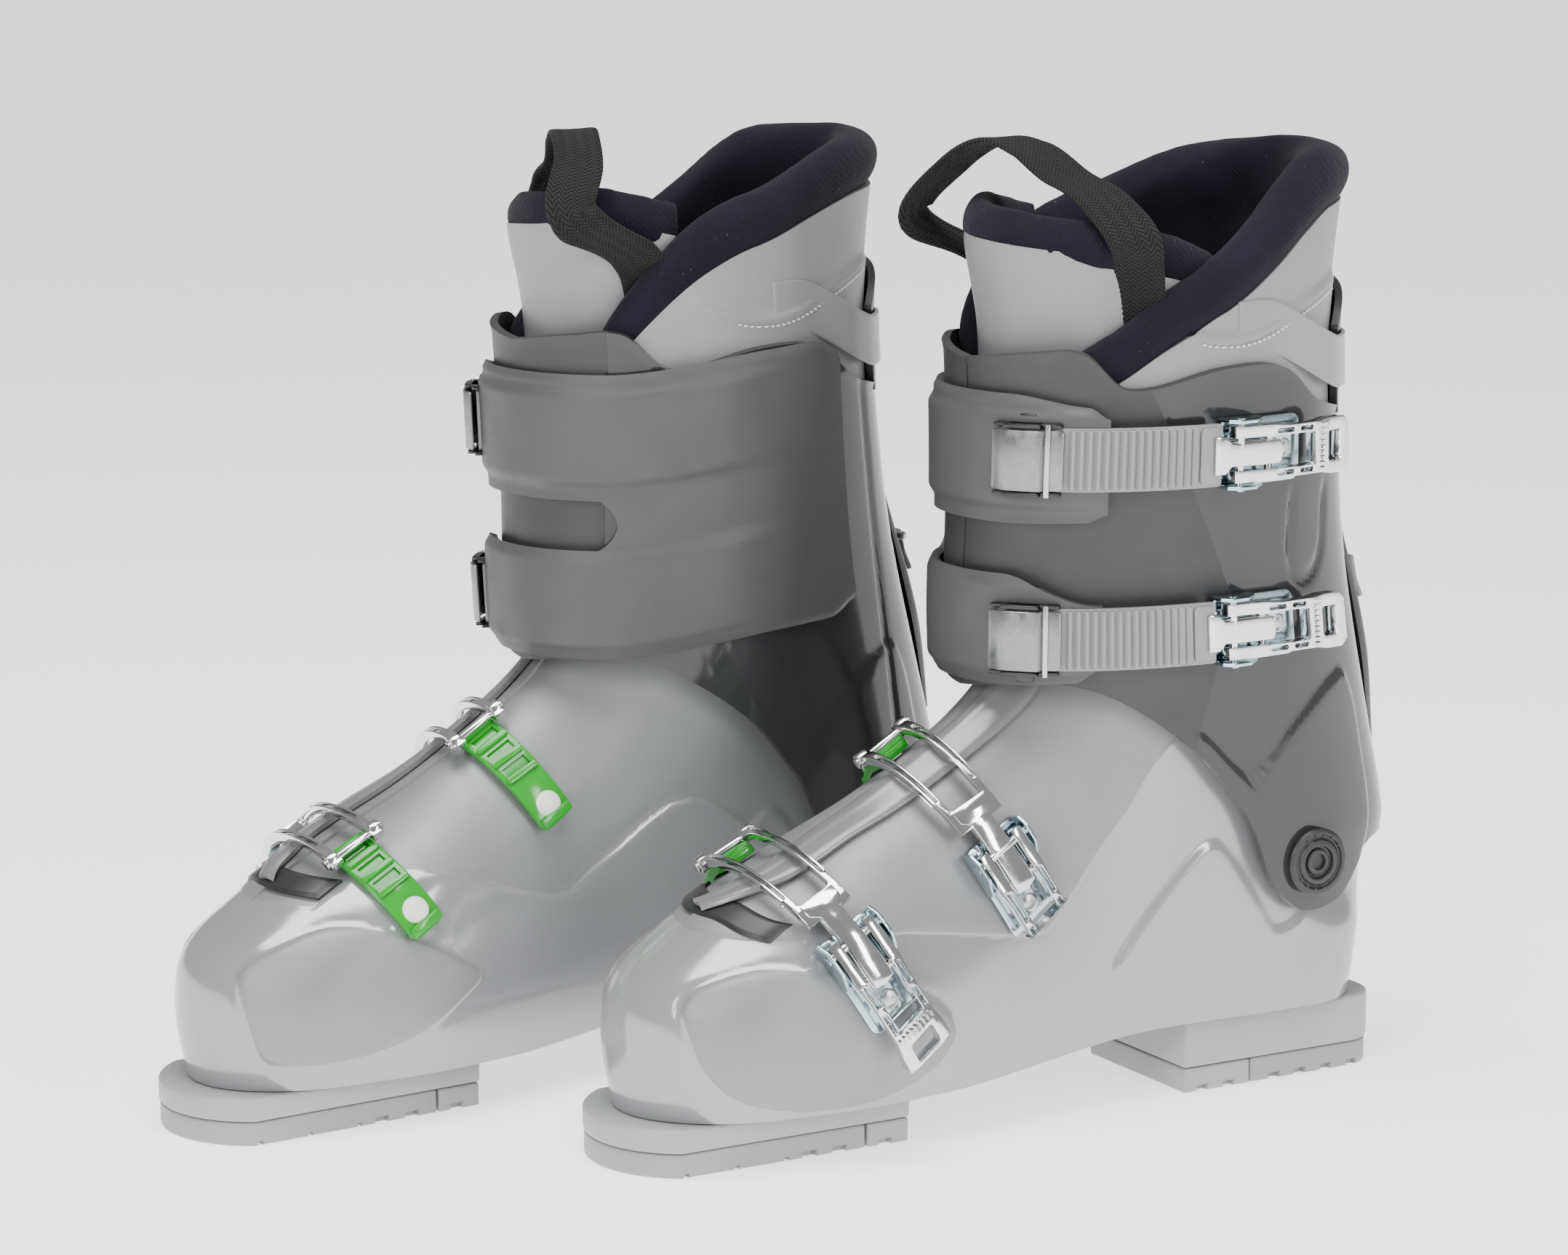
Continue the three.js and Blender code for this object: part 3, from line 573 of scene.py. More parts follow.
def knit(name, color, scale, sheen):
    """Brushed knit cloth: fine ribs, soft fuzz and specks of lint."""
    material, tree, shader = nodes_of(name, color, 0.95, Sheen_Weight=sheen, Sheen_Roughness=0.5,
                                      Specular_IOR_Level=0.2)
    place = tree.nodes.new("ShaderNodeTexCoord")
    ribs = tree.nodes.new("ShaderNodeTexWave")
    ribs.wave_type, ribs.bands_direction = "BANDS", "DIAGONAL"
    ribs.inputs["Scale"].default_value = scale
    ribs.inputs["Distortion"].default_value = 2.5
    ribs.inputs["Detail"].default_value = 2
    tree.links.new(place.outputs["Object"], ribs.inputs["Vector"])
    fuzz = noise(tree, 1400, 4)
    height = maths(tree, "ADD", maths(tree, "MULTIPLY", ribs.outputs["Fac"], 0.45), fuzz)
    tree.links.new(bump(tree, height, 0.7, 0.0004), shader.inputs["Normal"])
    cloud = spread(tree, noise(tree, 30, 4), 0, 1)
    cloth = blend_color(tree, cloud, shade(color, 0.8), shade(color, 1.25))
    lint = spread(tree, noise(tree, 620, 1), 0, 1, 0.76, 0.8)
    speck = tuple(c * 0.6 + 0.05 for c in color)
    tree.links.new(blend_color(tree, lint, cloth, speck), shader.inputs["Base Color"])
    return material


def webbing():
    """Black webbing woven in a herringbone, with a painted highlight on the raised crests of its threads."""
    material, tree, shader = nodes_of("webbing", (0.01, 0.01, 0.01), 0.8, Sheen_Weight=0.03,
                                      Specular_IOR_Level=0.25)
    along, across = named(tree, "along"), named(tree, "across")
    zigzag = maths(tree, "PINGPONG", across, 2.5)
    lines = maths(tree, "SINE", maths(tree, "MULTIPLY", maths(tree, "ADD", along, zigzag), 3.6))
    threads = maths(tree, "ADD", lines, maths(tree, "MULTIPLY", noise(tree, 900, 3), 0.6))
    tree.links.new(bump(tree, threads, 0.9, 0.0005), shader.inputs["Normal"])
    # painted highlight: each thread line is coloured lighter where the bump raises it
    thread_crest_highlight = spread(tree, lines, 0, 1, -1, 1)
    tree.links.new(blend_color(tree, thread_crest_highlight, (0.004, 0.004, 0.004), (0.020, 0.020, 0.019)),
                   shader.inputs["Base Color"])
    return material


SHELL = two_finishes("shell plastic", (0.33, 0.334, 0.342), 0.15, (0.25, 0.253, 0.258), 0.48, 0.35)
CUFF = two_finishes("cuff plastic", (0.034, 0.034, 0.036), 0.1, (0.036, 0.036, 0.037), 0.5, 0.05)
FLAP = moulded("flap plastic", (0.062, 0.061, 0.061), 0.52, grain=0.25, grain_scale=2200)
SOLE = moulded("sole plastic", (0.33, 0.335, 0.34), 0.4, grain=0.12)
TREAD = moulded("tread plastic", (0.29, 0.295, 0.30), 0.45, grain=0.15)
DARK = moulded("dark plastic", (0.018, 0.018, 0.019), 0.4, grain=0.15)
STRAP = moulded("strap plastic", (0.24, 0.24, 0.243), 0.25, grain=0.05)
GREEN = moulded("ladder plastic", (0.02, 0.30, 0.022), 0.14, grain=0.02)
VINYL = moulded("liner vinyl", (0.235, 0.238, 0.242), 0.4, grain=0.1, grain_scale=900)
NAVY = knit("navy knit", (0.0065, 0.005, 0.011), 260, 0.05)
CREAM = moulded("rivet cap", (0.80, 0.80, 0.76), 0.4)
POLISHED = metal("polished alloy", (0.78, 0.78, 0.79), 0.1)
SATIN = metal("satin steel", (0.26, 0.26, 0.27), 0.3)
ZINC = metal("zinc plate", (0.52, 0.63, 0.67), 0.16)
BLACK_STEEL = metal("black steel", (0.06, 0.06, 0.062), 0.3)
STEEL = metal("pin steel", (0.55, 0.56, 0.57), 0.25)
WEBBING = webbing()
THREAD = moulded("thread", (0.62, 0.62, 0.60), 0.6)
OVERLAP = moulded("overlap plastic", (0.20, 0.202, 0.205), 0.26, grain=0.06, Metallic=0.2)


# ------------------------------------------------------------------ lower shell
# Outlines on the side of the shell, as (y, z) corners.
OUTER_TOE_PANEL = [(-149, 66), (-139, 73.5), (-120, 78.5), (-98, 77), (-72, 70), (-50, 59), (-42, 51),
                   (-42, 42), (-53, 31), (-76, 23), (-104, 22.5), (-130, 29), (-143, 40), (-148, 53)]
INNER_TOE_PANEL = [(-153, 66), (-140, 75), (-121, 82), (-104, 81.5), (-84, 74.5), (-66, 64.5), (-60, 58.5),
                   (-66, 53), (-88, 39), (-112, 32.5), (-136, 31), (-147, 34), (-152, 48)]
OUTER_VAMP = [(-200, 91), (-121, 89), (-99, 89.5), (-60, 88), (-20, 81.5), (-2, 78.5), (7, 79.5), (14, 86),
              (32, 107), (46, 122), (56, 137), (72, 154), (90, 185), (90, 260), (-200, 260)]
INNER_VAMP = [(-200, 91), (-121, 90), (-98, 103), (-77, 101), (-59, 97), (-40, 90), (-20, 84.5), (-12, 84.8),
              (-2, 91), (12, 98), (26, 107), (38, 113.5), (50, 115), (60, 110.5), (76, 97), (92, 82),
              (140, 82), (140, 260), (-200, 260)]
HEEL_FACET = [(38, 58), (47, 70), (60, 84.5), (74, 98), (83, 104.5), (90, 102), (102, 85), (112.7, 69.5),
              (118, 66), (129.5, 68), (119, 51), (111, 43), (104, 37), (82, 41), (58.7, 46.4), (40, 49)]


def lower_shell():
    """Outer skin of the shell with its raised panels, and its underside closed towards the middle."""
    columns, wall_rows, cap_rows = 440, 88, 4
    rows = wall_rows + cap_rows

    def place(u, v):
        row = np.rint(v * rows)
        floor = shell_underside(shell_face(u, np.full_like(u, 19.0))[:, 1])
        rim = mix(182.0, 150.0, smooth(0.1, 0.4, np.minimum(u, 1 - u)))
        share = np.clip((row - cap_rows) / wall_rows, 0, 1)
        z = mix(floor, rim, share)
        outer = np.mod(u, 1) < 0.5
        p = shell_face(u, z)
        y = p[:, 1]
        panel = np.where(outer, distance_inside(rounded(OUTER_TOE_PANEL), y, z),
                         distance_inside(rounded(INNER_TOE_PANEL), y, z))
        vamp = np.where(outer, distance_inside(OUTER_VAMP, y, z), distance_inside(INNER_VAMP, y, z))
        facet = distance_inside(rounded(HEEL_FACET), y, z)
        proud = 0.9 * smooth(-1.2, 1.2, panel) - 0.35 * hump(panel + 1.2, 1.2)
        proud += np.where(outer, 0.5, -0.9) * smooth(-1.5, 1.5, vamp) - 0.3 * hump(vamp, 1.0)
        proud += 1.5 * smooth(-2.2, 2.2, facet) * (1 - smooth(60, 50, z) * 0.5)
        p = p + shell_normal(u, z) * proud[:, None]
        under = row < cap_rows
        edge = shell_face(u, floor)
        inwards = np.where(under, row / cap_rows, 1)
        p[:, 0] = np.where(under, edge[:, 0] * inwards, p[:, 0])
        p[:, 1] = np.where(under, edge[:, 1], p[:, 1])
        p[:, 2] = np.where(under, floor, p[:, 2])
        place.matte = np.maximum(panel, vamp)
        return p

    obj = lay("shell", columns, rows, place)
    write_attribute(obj, "matte", place.matte)
    weld(obj)
    wall(obj, 3.6)
    crisp(obj, 40)
    set_on_boots(obj, "shell_skin", "shells", SHELL, ["lower_shell"])


# ------------------------------------------------------------------ sole lugs
def prism(name, outline, z0, z1, edge):
    """Upright slab on an outline, its top and bottom edges rounded over."""
    bpy.ops.mesh.primitive_circle_add(vertices=len(outline), radius=1, fill_type="NGON")
    obj = bpy.context.object
    obj.name = name
    set_points(obj, [(x, y, z0) for x, y in outline])
    bpy.ops.object.mode_set(mode="EDIT")
    bpy.ops.mesh.select_all(action="SELECT")
    bpy.ops.mesh.extrude_region_move(TRANSFORM_OT_translate={"value": (0, 0, z1 - z0)})
    bpy.ops.object.mode_set(mode="OBJECT")
    turned_out(obj)
    if edge:
        eased(obj, edge, 3)
    return obj


def toe_outline(y_from, y_to, half, reach=40.0):
    """Plan of the toe lug: an arc of radius reach in front, square behind."""
    start = math.asin(half / reach)
    steps = 28
    arc = [(-math.pi / 2 - start + 2 * start * i / steps) for i in range(steps + 1)]
    tip = [(reach * math.cos(a), y_from + reach + reach * math.sin(a)) for a in arc]
    return tip + [(half, y_to), (-half, y_to)]


def heel_outline(y_from, y_to, half, corner):
    """Plan of the heel lug: square in front, rounded corners behind."""
    out = [(-half, y_from), (half, y_from)]
    for sx, first in ((1, 0), (-1, math.pi / 2)):
        for i in range(9):
            a = first + math.pi / 2 * i / 8
            out.append((sx * (half - corner) + corner * math.cos(a), y_to - corner + corner * math.sin(a)))
    return out


def cut(obj, cutters):
    """Takes the cutters out of a piece and removes them."""
    for cutter in cutters:
        modifier = obj.modifiers.new("Cut", "BOOLEAN")
        modifier.operation, modifier.object, modifier.solver = "DIFFERENCE", cutter, "EXACT"
        active(obj)
        bpy.ops.object.modifier_apply(modifier=modifier.name)
        bpy.data.objects.remove(cutter)
    return obj


def block(x, y, z, sx, sy, sz):
    """Box at a middle with its full sizes."""
    bpy.ops.mesh.primitive_cube_add(size=1, location=(x, y, z), scale=(sx, sy, sz))
    bpy.ops.object.transform_apply(location=True, rotation=False, scale=True)
    return bpy.context.object


def soles():
    half = 34.5
    flange = prism("toe flange", toe_outline(-172, -51, half), 9.6, 19, 1.4)
    set_on_boots(crisp(flange), "toe_flange", "shells", SOLE, ["toe_sole"])
    pad = prism("toe pad", toe_outline(-171.4, -71, half - 0.6), 0, 9.4, 0.9)
    notches = [block(side * half, y, 0.6, 7, 6.5, 4.2) for side in (-1, 1) for y in (-96, -82.5)]
    grooves = [block(0, y, 0.2, 90, 2.2, 3.0) for y in (-150, -128, -106)]
    set_on_boots(crisp(cut(pad, notches + grooves)), "toe_tread", "shells", TREAD)
    inset = half - 0.3
    rear = prism("toe rear pad", [(-inset, -70), (inset, -70), (inset, -51.5), (-inset, -51.5)], 0, 9.4, 0.9)
    notches = [block(side * half, -62, 0.6, 7, 6, 4.2) for side in (-1, 1)]
    set_on_boots(crisp(cut(rear, notches)), "toe_tread_rear", "shells", SOLE)
    ledge = prism("heel ledge", heel_outline(79, 178, half, 16), 10.2, 30, 1.6)
    set_on_boots(crisp(ledge), "heel_block", "shells", SOLE, ["heel_sole"])
    pad = prism("heel pad", heel_outline(112, 177.2, half - 0.6, 15.4), 0, 10, 0.9)
    notches = [block(side * half, y, 0.6, 7, 5.5, 4.0) for side in (-1, 1) for y in (124, 137, 150, 163)]
    set_on_boots(crisp(cut(pad, notches)), "heel_tread", "shells", TREAD)
    inset = half - 0.2
    front = prism("heel front", [(-inset, 79.2), (inset, 79.2), (inset, 111.4), (-inset, 111.4)], 0, 10, 0.9)
    notches = [block(side * half, y, 0.6, 7, 5.5, 4.0) for side in (-1, 1) for y in (88, 101)]
    set_on_boots(crisp(cut(front, notches)), "heel_tread_front", "shells", SOLE)


# ------------------------------------------------------------------ cuff
# Heights of the cuff's edges by degrees from the front.
cuff_low_edge = curve([(0, 172), (35, 176), (55, 172), (72, 158), (84, 140), (91, 118), (96, 92), (104, 76),
                       (112, 73), (122, 77), (132, 91), (142, 96), (180, 94)])
cuff_top_edge = curve([(0, 302), (30, 306), (48, 306), (62, 292), (92, 299), (108, 297), (125, 282),
                       (180, 272)])
OUTER_MATTE = [(-60, 330), (38, 330), (40, 293), (84.6, 203), (71, 148), (60, 120), (-60, 120)]
EAR = [(70, 152), (92, 134), (100, 131), (118, 150), (142, 168), (152, 163), (160, 140), (165, 100),
       (140, 66), (95, 66), (84, 110)]


def degrees_from_front(angle):
    return np.degrees(np.abs(np.arctan2(np.sin(angle), np.cos(angle))))


def cuff():
    """Cuff with the raised ear round its pivot, a pressed loop on the outer side and a seam on the inner."""
    columns, rows = 330, 76
    loop_y, loop_half, loop_foot = 121, 10.5, 228

    def place(u, v):
        angle = 2 * np.pi * u
        turn = degrees_from_front(angle)
        z = mix(cuff_low_edge(turn), cuff_top_edge(turn), v)
        y = leg_face(angle, z)[:, 1]
        outer = np.sin(angle) >= 0
        matte = np.where(outer, distance_inside(OUTER_MATTE, y, z), -8.0)
        matte = np.where(~outer & (y < 10), 3.0, matte)
        ear = distance_inside(rounded(EAR), y, z)
        proud = -0.5 * smooth(-0.6, 0.6, matte) * outer
        behind = smooth(100, 112, turn + (z - 110) * 0.3 + 30)
        proud += np.where(outer, 1.4, 0.8) * smooth(-1.6, 1.6, ear) * behind
        loop = np.abs(np.hypot((y - loop_y) / loop_half, np.minimum(z - loop_foot, 0) / 17) - 1) * 10
        loop = np.where(z > loop_foot, np.abs(np.abs(y - loop_y) - loop_half), loop)
        proud -= 1.3 * hump(loop, 1.6) * outer * smooth(252, 240, z)
        proud -= 1.2 * hump(y - (146 - 0.12 * (z - 150)), 2.0) * (~outer) * smooth(98, 110, z)
        lip = smooth(3.5, 0.5, (cuff_top_edge(turn) - z)) * 0.5
        place.matte = matte
        return leg_face(angle, z, proud + lip)

    obj = lay("cuff", columns, rows, place)
    write_attribute(obj, "matte", place.matte)
    weld(obj)
    wall(obj, 3.4)
    crisp(obj, 40)
    set_on_boots(obj, "cuff_skin", "cuff", CUFF, ["cuff_shell"])


FLAP_FROM, FLAP_TO, SLOT_FROM = -112.5, 56.5, -45  # degrees from the front


def flap_rise(turn):
    """How much higher the flap sits towards its rear edge."""
    return 10 * smooth(40, 112, -turn)


def flap_edges(turn):
    """Heights of the flap's four lines: lower finger from and to, upper finger from and to."""
    rise = flap_rise(turn)
    tip = smooth(22, 56, turn)
    slot_half = 10.0 * np.sqrt(np.clip((turn - SLOT_FROM) / 6.0, 0, 1)) + 1e-3
    slot_mid = 230
    low_from = 175.5 + 6 * smooth(48, 57, turn) + 1.5 * tip
    low_to = slot_mid - slot_half - 12.0 * tip
    up_from = slot_mid + slot_half + 1.0 * tip + 3 * smooth(50, 57, turn)
    up_to = 290.5 - 5.0 * tip - 4 * smooth(50, 57, turn)
    corner = 6 * smooth(-100, FLAP_FROM, turn) ** 2
    return low_from + rise + corner, low_to + rise, up_from + rise, up_to + rise - corner


def flap():
    """Outer flap with two fingers, one under each cuff buckle."""
    columns, finger, between = 190, 40, 6
    rows = 2 * finger + between

    def place(u, v):
        turn = mix(FLAP_FROM, FLAP_TO, u)
        low_from, low_to, up_from, up_to = flap_edges(turn)
        row = np.rint(v * rows)
        z = np.where(row <= finger, mix(low_from, low_to, row / finger),
                     np.where(row <= finger + between, mix(low_to, up_from, (row - finger) / between),
                              mix(up_from, up_to, (row - finger - between) / finger)))
        level = z - flap_rise(turn)
        lower_band = smooth(178, 182, level) * smooth(222.0 - 4 * smooth(0, 50, turn), 215, level)
        upper_band = smooth(244, 249, level) * smooth(286, 281, level)
        raised = (lower_band + upper_band) * smooth(-98, -78, turn)
        proud = 1.0 + 3.2 + 2.2 * raised
        edge = np.minimum(np.minimum(z - low_from, up_to - z), 40)
        proud = proud - 1.3 * smooth(2.6, 0.2, edge)
        return leg_face(np.radians(turn), z, proud)

    def keep(u, v):
        return not (finger < v * rows < finger + between) or mix(FLAP_FROM, FLAP_TO, u) < SLOT_FROM

    obj = lay("flap", columns, rows, place, keep)
    weld(obj)
    wall(obj, 3.3)
    crisp(obj, 35)
    set_on_boots(obj, "flap_skin", "cuff", FLAP, ["cuff_flap"])


# ------------------------------------------------------------------ liner: collar, vinyl and foot lining
LINER_INSET = 4.8
LINER_WALL = 9.0

outer_rim = curve([(34, 302), (46, 310), (60, 319), (72, 329), (84, 338), (96, 349), (108, 361), (120, 373),
                   (134, 381), (180, 384)])
inner_rim = curve([(34, 306), (46, 322), (60, 338), (72, 350), (84, 359), (96, 366), (108, 373), (120, 378),
                   (134, 381), (180, 384)])


def collar_rim(turn, outer):
    """Height of the collar, turn in degrees from the front; the inner side stands higher."""
    return np.where(outer, outer_rim(turn), inner_rim(turn))


def lofted(name, columns, section, place_ring):
    """Body swept through rings: place_ring(u, v) gives points, v running round each ring."""
    return close_ends(weld(lay(name, columns, section, place_ring)))


def ring_of(keys):
    """Closed smooth cross-section through keys, as a function of v from 0 to 1."""
    fine = rounded(keys, 12)
    closed = np.vstack([fine, fine[:1]])
    run = length_along(closed)
    return lambda v: [np.interp(v * run[-1], run, closed[:, i]) for i in range(2)]


def puffed(obj, voxel, most, pressure=4.0):
    """Blows a pad up as cloth over its own shape, by no more than a limit."""
    obj.data.remesh_voxel_size = voxel
    active(obj)
    bpy.ops.object.voxel_remesh()
    start = points_of(obj).copy()
    set_points(obj, start * MM)
    cloth = obj.modifiers.new("Cloth", "CLOTH")
    cloth.settings.use_pressure = True
    cloth.settings.uniform_pressure_force = pressure
    cloth.settings.effector_weights.gravity = 0
    cloth.settings.tension_stiffness = 25
    cloth.settings.compression_stiffness = 25
    cloth.settings.bending_stiffness = 2
    frames = 20
    cloth.point_cache.frame_start, cloth.point_cache.frame_end = 1, frames
    for step in range(1, frames + 1):
        bpy.context.scene.frame_set(step)
    shaped = obj.evaluated_get(bpy.context.evaluated_depsgraph_get())
    end = np.zeros(len(obj.data.vertices) * 3)
    shaped.data.vertices.foreach_get("co", end)
    move = end.reshape(-1, 3) / MM - start
    size = np.linalg.norm(move, axis=1, keepdims=True)
    move *= np.minimum(1, most / np.maximum(size, 1e-6))
    obj.modifiers.remove(cloth)
    bpy.context.scene.frame_set(1)
    set_points(obj, start + move)
    finish_with(obj, "SMOOTH", factor=0.5, iterations=3)
    return finish_with(obj, "SUBSURF", levels=1, render_levels=1)


def collar():
    """Navy roll round the top of the liner, in one with the lining that runs down inside the leg."""
    ring = ring_of([(-7.5, -30), (-3.2, -24), (0.2, -15), (-0.4, -6), (-6, -0.5), (-13, -3), (-17, -11),
                    (-16.5, -22), (-14.6, -34), (-14, -60), (-13.6, -92), (-9.5, -94), (-9, -60), (-8.6, -38)])
    front = 33.0

    def place(u, v):
        turn = mix(front, 360 - front, u)
        away = degrees_from_front(np.radians(turn))
        end = smooth(front, front + 9, away)
        d, dz = ring(v)
        d = mix(-10.0, d, 0.35 + 0.65 * end)
        top = collar_rim(away, turn < 180)
        z = np.maximum(top + dz * mix(0.85, 1, end), 196 + 0.08 * dz)
        thick = 1 + 0.25 * smooth(120, 175, away) * (dz > -30)
        return leg_face(np.radians(turn), z, -LINER_INSET + 1.0 + mix(-8, d, thick))

    obj = lofted("collar", 150, 60, place)
    puffed(obj, 3.6, 2.2)
    crisp(obj, 60)
    set_on_boots(obj, "liner_collar", "cuff", NAVY, ["liner_leg"])


def seam_height(away):
    """Height of the curved seam on the liner's side, away in degrees from the front."""
    return 325 - 15 * hump(away - 92, 24) + 4 * smooth(118, 150, away)


def liner_vinyl():
    """Grey vinyl skin of the liner's leg with a curved welt on each side."""
    columns, rows = 220, 44

    def place(u, v):
        turn = mix(36, 324, u)
        away = degrees_from_front(np.radians(turn))
        top = collar_rim(away, turn < 180) - 24
        low = np.minimum(cuff_top_edge(away) - 22, top - 16)
        z = mix(low, top, v)
        arc = seam_height(away)
        welt = hump(z - arc, 1.6) * smooth(66, 74, away) * smooth(152, 140, away)
        proud = -LINER_INSET + 0.8 + 1.1 * welt + 0.9 * smooth(1.5, -1.5, z - arc) * smooth(64, 74, away)
        return leg_face(np.radians(turn), z, proud)

    obj = lay("vinyl", columns, rows, place)
    wall(obj, 3.0)
    crisp(obj, 50)
    set_on_boots(obj, "liner_vinyl", "cuff", VINYL)


def stitches():
    """Row of short raised stitches under the liner's welt."""
    made = []
    count, first, pitch = 34, 84, 1.7
    for side in (1, -1):
        for i in range(count):
            away = first + i * pitch
            arc = float(seam_height(away))
            a = leg_face(np.radians(side * away), np.array(arc - 3.4), -LINER_INSET + 2.5)
            b = leg_face(np.radians(side * (away + 1.1)), np.array(arc - 3.4), -LINER_INSET + 2.5)
            bpy.ops.mesh.primitive_uv_sphere_add(segments=6, ring_count=4, radius=1)
            stitch = bpy.context.object
            along = Vector(b - a)
            turn = Vector((1, 0, 0)).rotation_difference(along.normalized()).to_matrix().to_4x4()
            stitch.data.transform(Matrix.Translation(Vector((a + b) / 2)) @ turn
                                  @ Matrix.Diagonal((along.length / 2 + 0.2, 0.45, 0.45, 1)))
            made.append(stitch)
    obj = join(made, "stitches")
    crisp(obj, 60)
    set_on_boots(obj, "liner_stitches", "cuff", THREAD)


def foot_lining():
    """Soft inner boot inside the shell, seen down the leg."""
    columns, rows, cap, depth = 96, 30, 5, -15.0

    def place(u, v):
        floor = shell_underside(shell_face(u, np.full_like(u, 19.0))[:, 1]) + 14
        row = np.rint(v * rows)
        z = mix(floor, 177.0, np.clip((row - cap) / (rows - cap), 0, 1))
        p = on_shell(u, z, depth)
        under = row < cap
        edge = on_shell(u, floor, depth)
        p[:, 0] = np.where(under, edge[:, 0] * row / cap, p[:, 0])
        p[:, 1] = np.where(under, edge[:, 1], p[:, 1])
        p[:, 2] = np.where(under, floor - 1.0, p[:, 2])
        return p

    obj = lay("foot lining", columns, rows, place)
    weld(obj)
    turned_out(obj)
    finish_with(obj, "SOLIDIFY", thickness=6.0, offset=1, use_even_offset=False)
    face_outwards(obj)
    finish_with(obj, "SMOOTH", factor=0.5, iterations=2)
    crisp(obj, 60)
    set_on_boots(obj, "foot_lining", "shells", NAVY, ["liner_foot"])


# ------------------------------------------------------------------ tongue and pull loop
TONGUE_INNER, TONGUE_OUTER = -70.0, 96.0
TONGUE_INSET = -LINER_INSET - LINER_WALL - 2.0

tongue_crest = curve([(-70, 356), (-40, 363), (-10, 361), (30, 358), (60, 355), (80, 350), (96, 340)])


def tongue():
    """Padded tongue with a rolled top, and its vinyl face."""
    ring = ring_of([(-2.2, -40), (-0.8, -22), (1.8, -15), (2.6, -7), (-1.5, 0.5), (-7.5, -0.5), (-10, -7),
                    (-9, -16), (-8, -30), (-7.6, -70), (-7.4, -118), (-3.0, -119), (-2.6, -80)])

    def lean(turn, z):
        return 3.0 * smooth(310, 350, z) * np.cos(np.radians(turn))

    def pad(u, v):
        turn = mix(TONGUE_INNER, TONGUE_OUTER, u)
        d, dz = ring(v)
        end = smooth(0, 0.05, np.minimum(u, 1 - u))
        z = tongue_crest(turn) + dz * (tongue_crest(turn) - 226) / 125
        proud = TONGUE_INSET + mix(-4.0, d, 0.4 + 0.6 * end) + lean(turn, z)
        return leg_face(np.radians(turn), z, proud)

    obj = lofted("tongue pad", 90, 60, pad)
    puffed(obj, 3.4, 1.6)
    crisp(obj, 60)
    set_on_boots(obj, "tongue_pad", "cuff", NAVY, ["tongue"])

    def face(u, v):
        turn = mix(TONGUE_INNER + 2, TONGUE_OUTER - 3, u)
        z = mix(232, tongue_crest(turn) - 12.5, v)
        crease = hump(turn - 24 - (z - 300) * 0.25, 1.1) * 0.5
        return leg_face(np.radians(turn), z, TONGUE_INSET + 2.4 + lean(turn, z) - crease)

    obj = lay("tongue face", 110, 60, face)
    wall(obj, 2.2)
    crisp(obj, 50)
    set_on_boots(obj, "tongue_face", "cuff", VINYL)


LOOP_WIDTH, LOOP_THICK = 20.0, 2.4


def spline(points, t):
    """Smooth path through points, t from 0 to 1 by length."""
    p = np.array(points, float)
    p = np.vstack([2 * p[0] - p[1], p, 2 * p[-1] - p[-2]])
    out = []
    for i in range(1, len(p) - 2):
        for k in np.arange(24) / 24:
            a, b, c, d = p[i - 1], p[i], p[i + 1], p[i + 2]
            out.append(0.5 * (2 * b + (c - a) * k + (2 * a - 5 * b + 4 * c - d) * k ** 2
                              + (3 * b - a - 3 * c + d) * k ** 3))
    out.append(p[-2])
    out = np.array(out)
    run = length_along(out)
    return np.stack([np.interp(t * run[-1], run, out[:, i]) for i in range(3)], -1), run[-1]


def pull_loop():
    """Webbing loop standing over the tongue, both ends running down its face."""
    def on_tongue(turn, z, proud):
        return leg_face(np.radians(turn), np.array(float(z)), TONGUE_INSET + proud)

    keys = [on_tongue(-58, 302, 3), on_tongue(-57, 320, 4), on_tongue(-53, 337, 9), (-38, -6, 354),
            (-26, 4, 374), (-10, 12, 384), (5, 19, 381.5), (20, 26, 372), (38, 31, 364),
            on_tongue(65, 350, 9), on_tongue(67, 336, 5), on_tongue(67, 304, 3)]

    def place(u, v):
        p, length = spline(keys, u)
        ahead, _ = spline(keys, np.minimum(u + 0.004, 1))
        behind, _ = spline(keys, np.maximum(u - 0.004, 0))
        tangent = unit(ahead - behind)
        twist = np.radians(mix(-36, 36, smooth(0, 1, u)))
        wide = stack(np.sin(twist), np.cos(twist), 0)
        wide = unit(wide - tangent * (tangent * wide).sum(-1, keepdims=True))
        up = np.cross(tangent, wide)
        a = 2 * np.pi * v
        flat = np.sign(np.cos(a)) * np.abs(np.cos(a)) ** 0.35
        thick = np.sign(np.sin(a)) * np.abs(np.sin(a)) ** 0.6
        place.along, place.across = u * length, flat * LOOP_WIDTH / 2
        weave = 0.12 * np.sin(place.along * 2.6) * np.sin(place.across * 3.0)
        height = thick * (LOOP_THICK / 2 + weave)
        return p + wide * place.across[:, None] + up * height[:, None]

    obj = lay("loop", 230, 40, place)
    write_attribute(obj, "along", place.along)
    write_attribute(obj, "across", place.across)
    close_ends(weld(obj))
    crisp(obj, 60)
    set_on_boots(obj, "loop_webbing", "cuff", WEBBING, ["pull_loop"])


